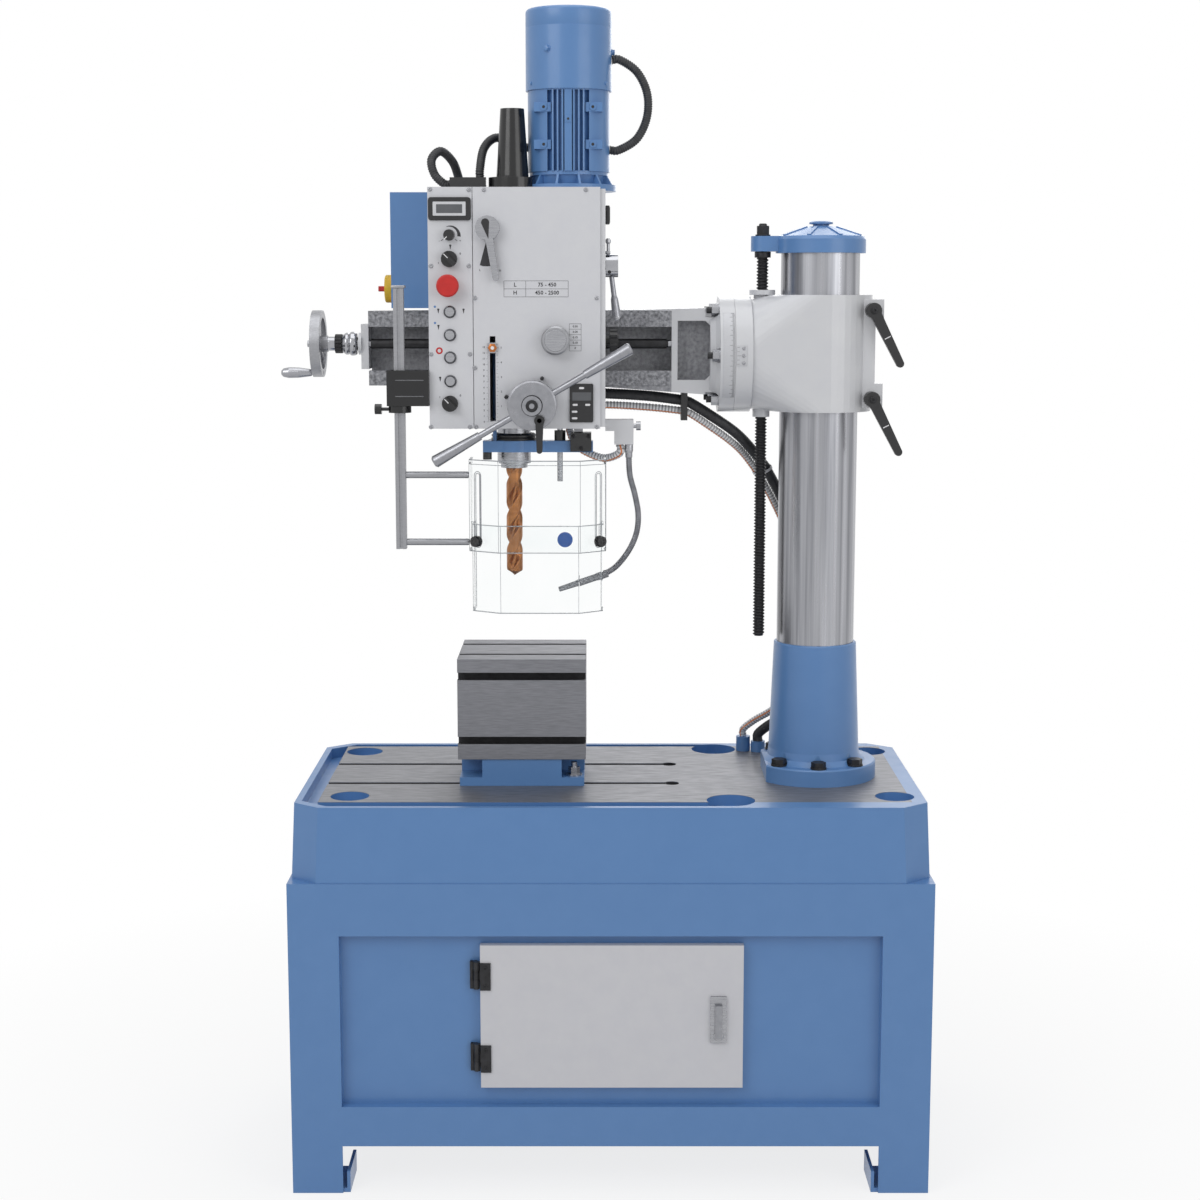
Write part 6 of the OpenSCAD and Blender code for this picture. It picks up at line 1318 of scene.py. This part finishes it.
make("tilt_scale", [rim_strip(*SCALE_X, -46, 46, 0.7)], scale_band, "arm")
ticks = [rim_tick(SCALE_LINE - tick_length(d), SCALE_LINE, d, 0.75) for d in range(-45, 46)]
make("tilt_scale_ticks", ticks, print_black, "arm", sharp=20)
make("tilt_vernier", [rim_strip(*VERNIER_X, -10, 10, 1.2, 16)], scale_band, "collar")
vernier_reach = {-8: 4.5, -4: 4.5, 0: 7, 4: 4.5, 8: 4.5}
vernier_ticks = [rim_tick(VERNIER_LINE, VERNIER_LINE + r, d, 1.25) for d, r in vernier_reach.items()]
make("tilt_vernier_ticks", vernier_ticks, print_black, "collar", sharp=20)
vernier_screws = [cap_screw(on_flange(SCREW_LINE, d, 1.1), out_of_flange(d), 2.4) for d in (-7, 0, 7)]
make("tilt_vernier_screws", vernier_screws, bright_steel, "collar")
print(len(ticks), "ticks on the tilt scale")

# %% Clamp levers
CLAMP_X, CLAMP_Y, CLAMPS = 478, -88.3, {"upper_clamp": 1601, "lower_clamp": 1440}
lean = unit((49, 0, -96))
for name, z in CLAMPS.items():
    make(name + "_screw", [cap_screw((CLAMP_X, CLAMP_Y, z), FRONT, 5.0)], black_steel, name)
    # A thin white strip across each lever is a painted highlight: the light on the lever's notch.
    mark = leaning_bar((CLAMP_X + 25, CLAMP_Y - 0.1, z - 49), lean, 0.8, 6.0, 0.25)
    make(name + "_notch_highlight", [mark], print_white, name)
print("clamp levers:", list(CLAMPS))

# %% Traverse shaft
SHAFT_YZ = (-36.0, 1540.0)
BELL_X, DIAL_X, SLEEVE_X, NUT_X = -466, -499.7, -506.2, -552.9


def notched(angle):
    """A dial's rim: sixteen narrow notches."""
    return 1 - 0.07 * np.clip(np.cos(16 * angle) * 4 - 3, 0, 1)


bell = [(0, 0), (19, 0), (20.8, 2), (22, 6), (22, 11), (20.6, 13), (18.6, 14), (20.2, 16), (20.2, 21),
        (17.6, 24), (16.6, 27), (0, 27)]
make("traverse_bell", [turned(bell, (BELL_X, *SHAFT_YZ), LEFT, 48, 1.5)], chrome, "traverse")
sleeve = [(0, 0), (13, 0), (13, 16), (11.4, 18.5), (0, 18.5)]
make("traverse_sleeve", [turned(sleeve, (SLEEVE_X, *SHAFT_YZ), LEFT, 48, 0.6)], chrome, "traverse")
dial = [(0, -6.8), (16.8, -6.8), (17.6, -6), (17.6, 6), (16.8, 6.8), (0, 6.8)]
dial_part = turned(dial, (DIAL_X, *SHAFT_YZ), RIGHT, 192, swell=notched)
make("traverse_dial", [dial_part], black_steel, "traverse")
make("handwheel_nut", [hex_head((NUT_X, *SHAFT_YZ), LEFT, 12, 5)], bright_steel, "traverse")
print("traverse shaft at Y, Z", SHAFT_YZ)

# %% [markdown]
# ## Door and ties
#
# The door's hinges get their second leaf and their screws, and its latch a lock. Where two stretches of the
# lines meet, a strap holds cable and hose together; its outline is worked out from both, so it fits them
# closely.

# %% Hinges and lock
LOCK = (195, 301)
leaves = [rounded_box((-255, -269.3, z - 25.5), (-249.4, -260.3, z + 25.5), 1.0) for z in HINGE_Z]
make("hinge_leaves", leaves, black_steel, "stand")
screws = [cap_screw((-226.5, -280, z + s), FRONT, 3.0) for z in HINGE_Z for s in (-17, 17)]
make("hinge_screws", screws, black_steel, "door")
lock = [(0, 0), (9, 0), (9, 2.4), (8, 3.4), (5.4, 3.4), (5.2, 2.2), (0, 2.2)]
make("latch_lock", [turned(lock, (LOCK[0], -282, LOCK[1]), FRONT, 36)], chrome, "door")
# A black bar stands in for the keyhole: painted shade inside it.
keyhole = bar((LOCK[0], -284.3, LOCK[1]), (0.7, 0, 0), (0, 0, 3), (0, 0.2, 0))
make("latch_keyhole_shade", [keyhole], black_plastic, "door")
print(len(screws), "hinge screws")


# %% Ties round cable and hose
def tie(stretch, axis, wide=5.0):
    """A strap at a stretch's end: in each direction from the middle, the farther of the two circles."""
    a, u, w = axes_of(axis)
    c, h = np.array(CABLE[stretch][-1], float), np.array(HOSE[stretch][-1], float)
    mid = (c + h) / 2
    d = spokes(angles(48), u, w)
    reach = np.maximum((d @ (c - mid)) + CABLE_D / 2, (d @ (h - mid)) + HOSE_D / 2)
    edges = ((-1, 0.2), (-1, 1.6), (1, 1.6), (1, 0.2), (-1, 0.2))
    rows = [mid + s * a * wide / 2 + (reach + out)[:, None] * d for s, out in edges]
    return grid_part(np.stack(rows), caps=False)


make("collar_tie", [tie("bend", (0.4, 0.25, -0.88))], grey_enamel, "collar")
make("cap_tie", [tie("drop", (0.02, 0.03, -1))], grey_enamel, "cap")
print("two ties")

# %% [markdown]
# ## Light and floor
#
# Large soft lamps stand in for a white photo booth. The backdrop is white where the camera, a reflection or
# clear plastic looks at it, and a plain grey where it only lights the machine, so that colours keep their
# level.


# %% World and floor
SOFT_LIGHT, WHITE = 0.45, (1, 1, 1, 1)


def seen_rays(tree):
    """One for camera, glossy and transmission rays, zero for the light that falls on things."""
    path = put(tree, "ShaderNodeLightPath").outputs
    direct = calc(tree, "MAXIMUM", path["Is Camera Ray"], path["Is Glossy Ray"])
    return calc(tree, "MAXIMUM", direct, path["Is Transmission Ray"])


def white_where(tree, share, lit, white, output):
    """Mixes a lit shader with a white one by a share and gives the result to the tree's output node."""
    mix = put(tree, "ShaderNodeMixShader", _0=share, _1=lit.outputs[0], _2=white.outputs[0])
    put(tree, output, _0=mix.outputs[0])


def studio_world():
    """White for rays that look at the booth; a soft grey for its light."""
    world = bpy.data.worlds.new("white_booth")
    world.use_nodes = True
    tree = world.node_tree
    tree.nodes.clear()
    soft, white = (put(tree, "ShaderNodeBackground", Color=WHITE, Strength=s) for s in (SOFT_LIGHT, 1.0))
    white_where(tree, seen_rays(tree), soft, white, "ShaderNodeOutputWorld")
    return world


def floor_finish():
    """A pale matt floor: near the machine it is partly lit and keeps a soft shadow, farther off white."""
    mat, tree, _ = new_material("pale_floor")
    tree.nodes.clear()
    place = put(tree, "ShaderNodeTexCoord").outputs["Object"]
    far = put(tree, "ShaderNodeVectorMath", {"operation": "LENGTH"}, _0=place).outputs["Value"]
    plain = put(tree, "ShaderNodeMapRange", Value=far, From_Min=0.7, From_Max=1.9, To_Min=0.8, To_Max=1.0)
    matt = put(tree, "ShaderNodeBsdfDiffuse", Color=(0.86, 0.86, 0.86, 1))
    white = put(tree, "ShaderNodeEmission", Color=WHITE, Strength=1.0)
    share = calc(tree, "MULTIPLY", seen_rays(tree), plain.outputs[0])
    white_where(tree, share, matt, white, "ShaderNodeOutputMaterial")
    return mat


FLOOR_HALF, FLOOR_Z = 30000.0, -0.5
bpy.context.scene.world = studio_world()
steps = np.linspace(-FLOOR_HALF, FLOOR_HALF, 9)
gx, gy = np.meshgrid(steps, steps, indexing="ij")
floor_part = grid_part(np.stack([gx, gy, np.full_like(gx, FLOOR_Z)], -1), wrap=False)
floor = make("pale_floor", [floor_part], floor_finish(), None)
print("floor half width", FLOOR_HALF * MM, "m")


# %% Lamps
def lamp(name, at, aim_height, size, watts):
    """A square soft box at a place, in metres, turned to face a height above the middle of the floor."""
    data = bpy.data.lights.new(name, "AREA")
    data.size, data.energy = size, watts
    obj = bpy.data.objects.new(name, data)
    obj.location = at
    x, y, z = np.array([0, 0, aim_height]) - np.array(at)
    obj.rotation_euler = (math.atan2(math.hypot(x, y), -z), 0, math.atan2(x, -y) + math.pi)
    bpy.context.collection.objects.link(obj)


lamp("key_box", (-2.4, -3.0, 3.4), 1.1, 2.4, 52)
lamp("fill_box", (2.6, -3.0, 2.2), 1.0, 2.2, 27)
lamp("top_box", (0.0, -0.4, 4.6), 1.0, 3.0, 40)
lamp("back_box", (0.8, 3.2, 3.0), 1.2, 2.4, 34)
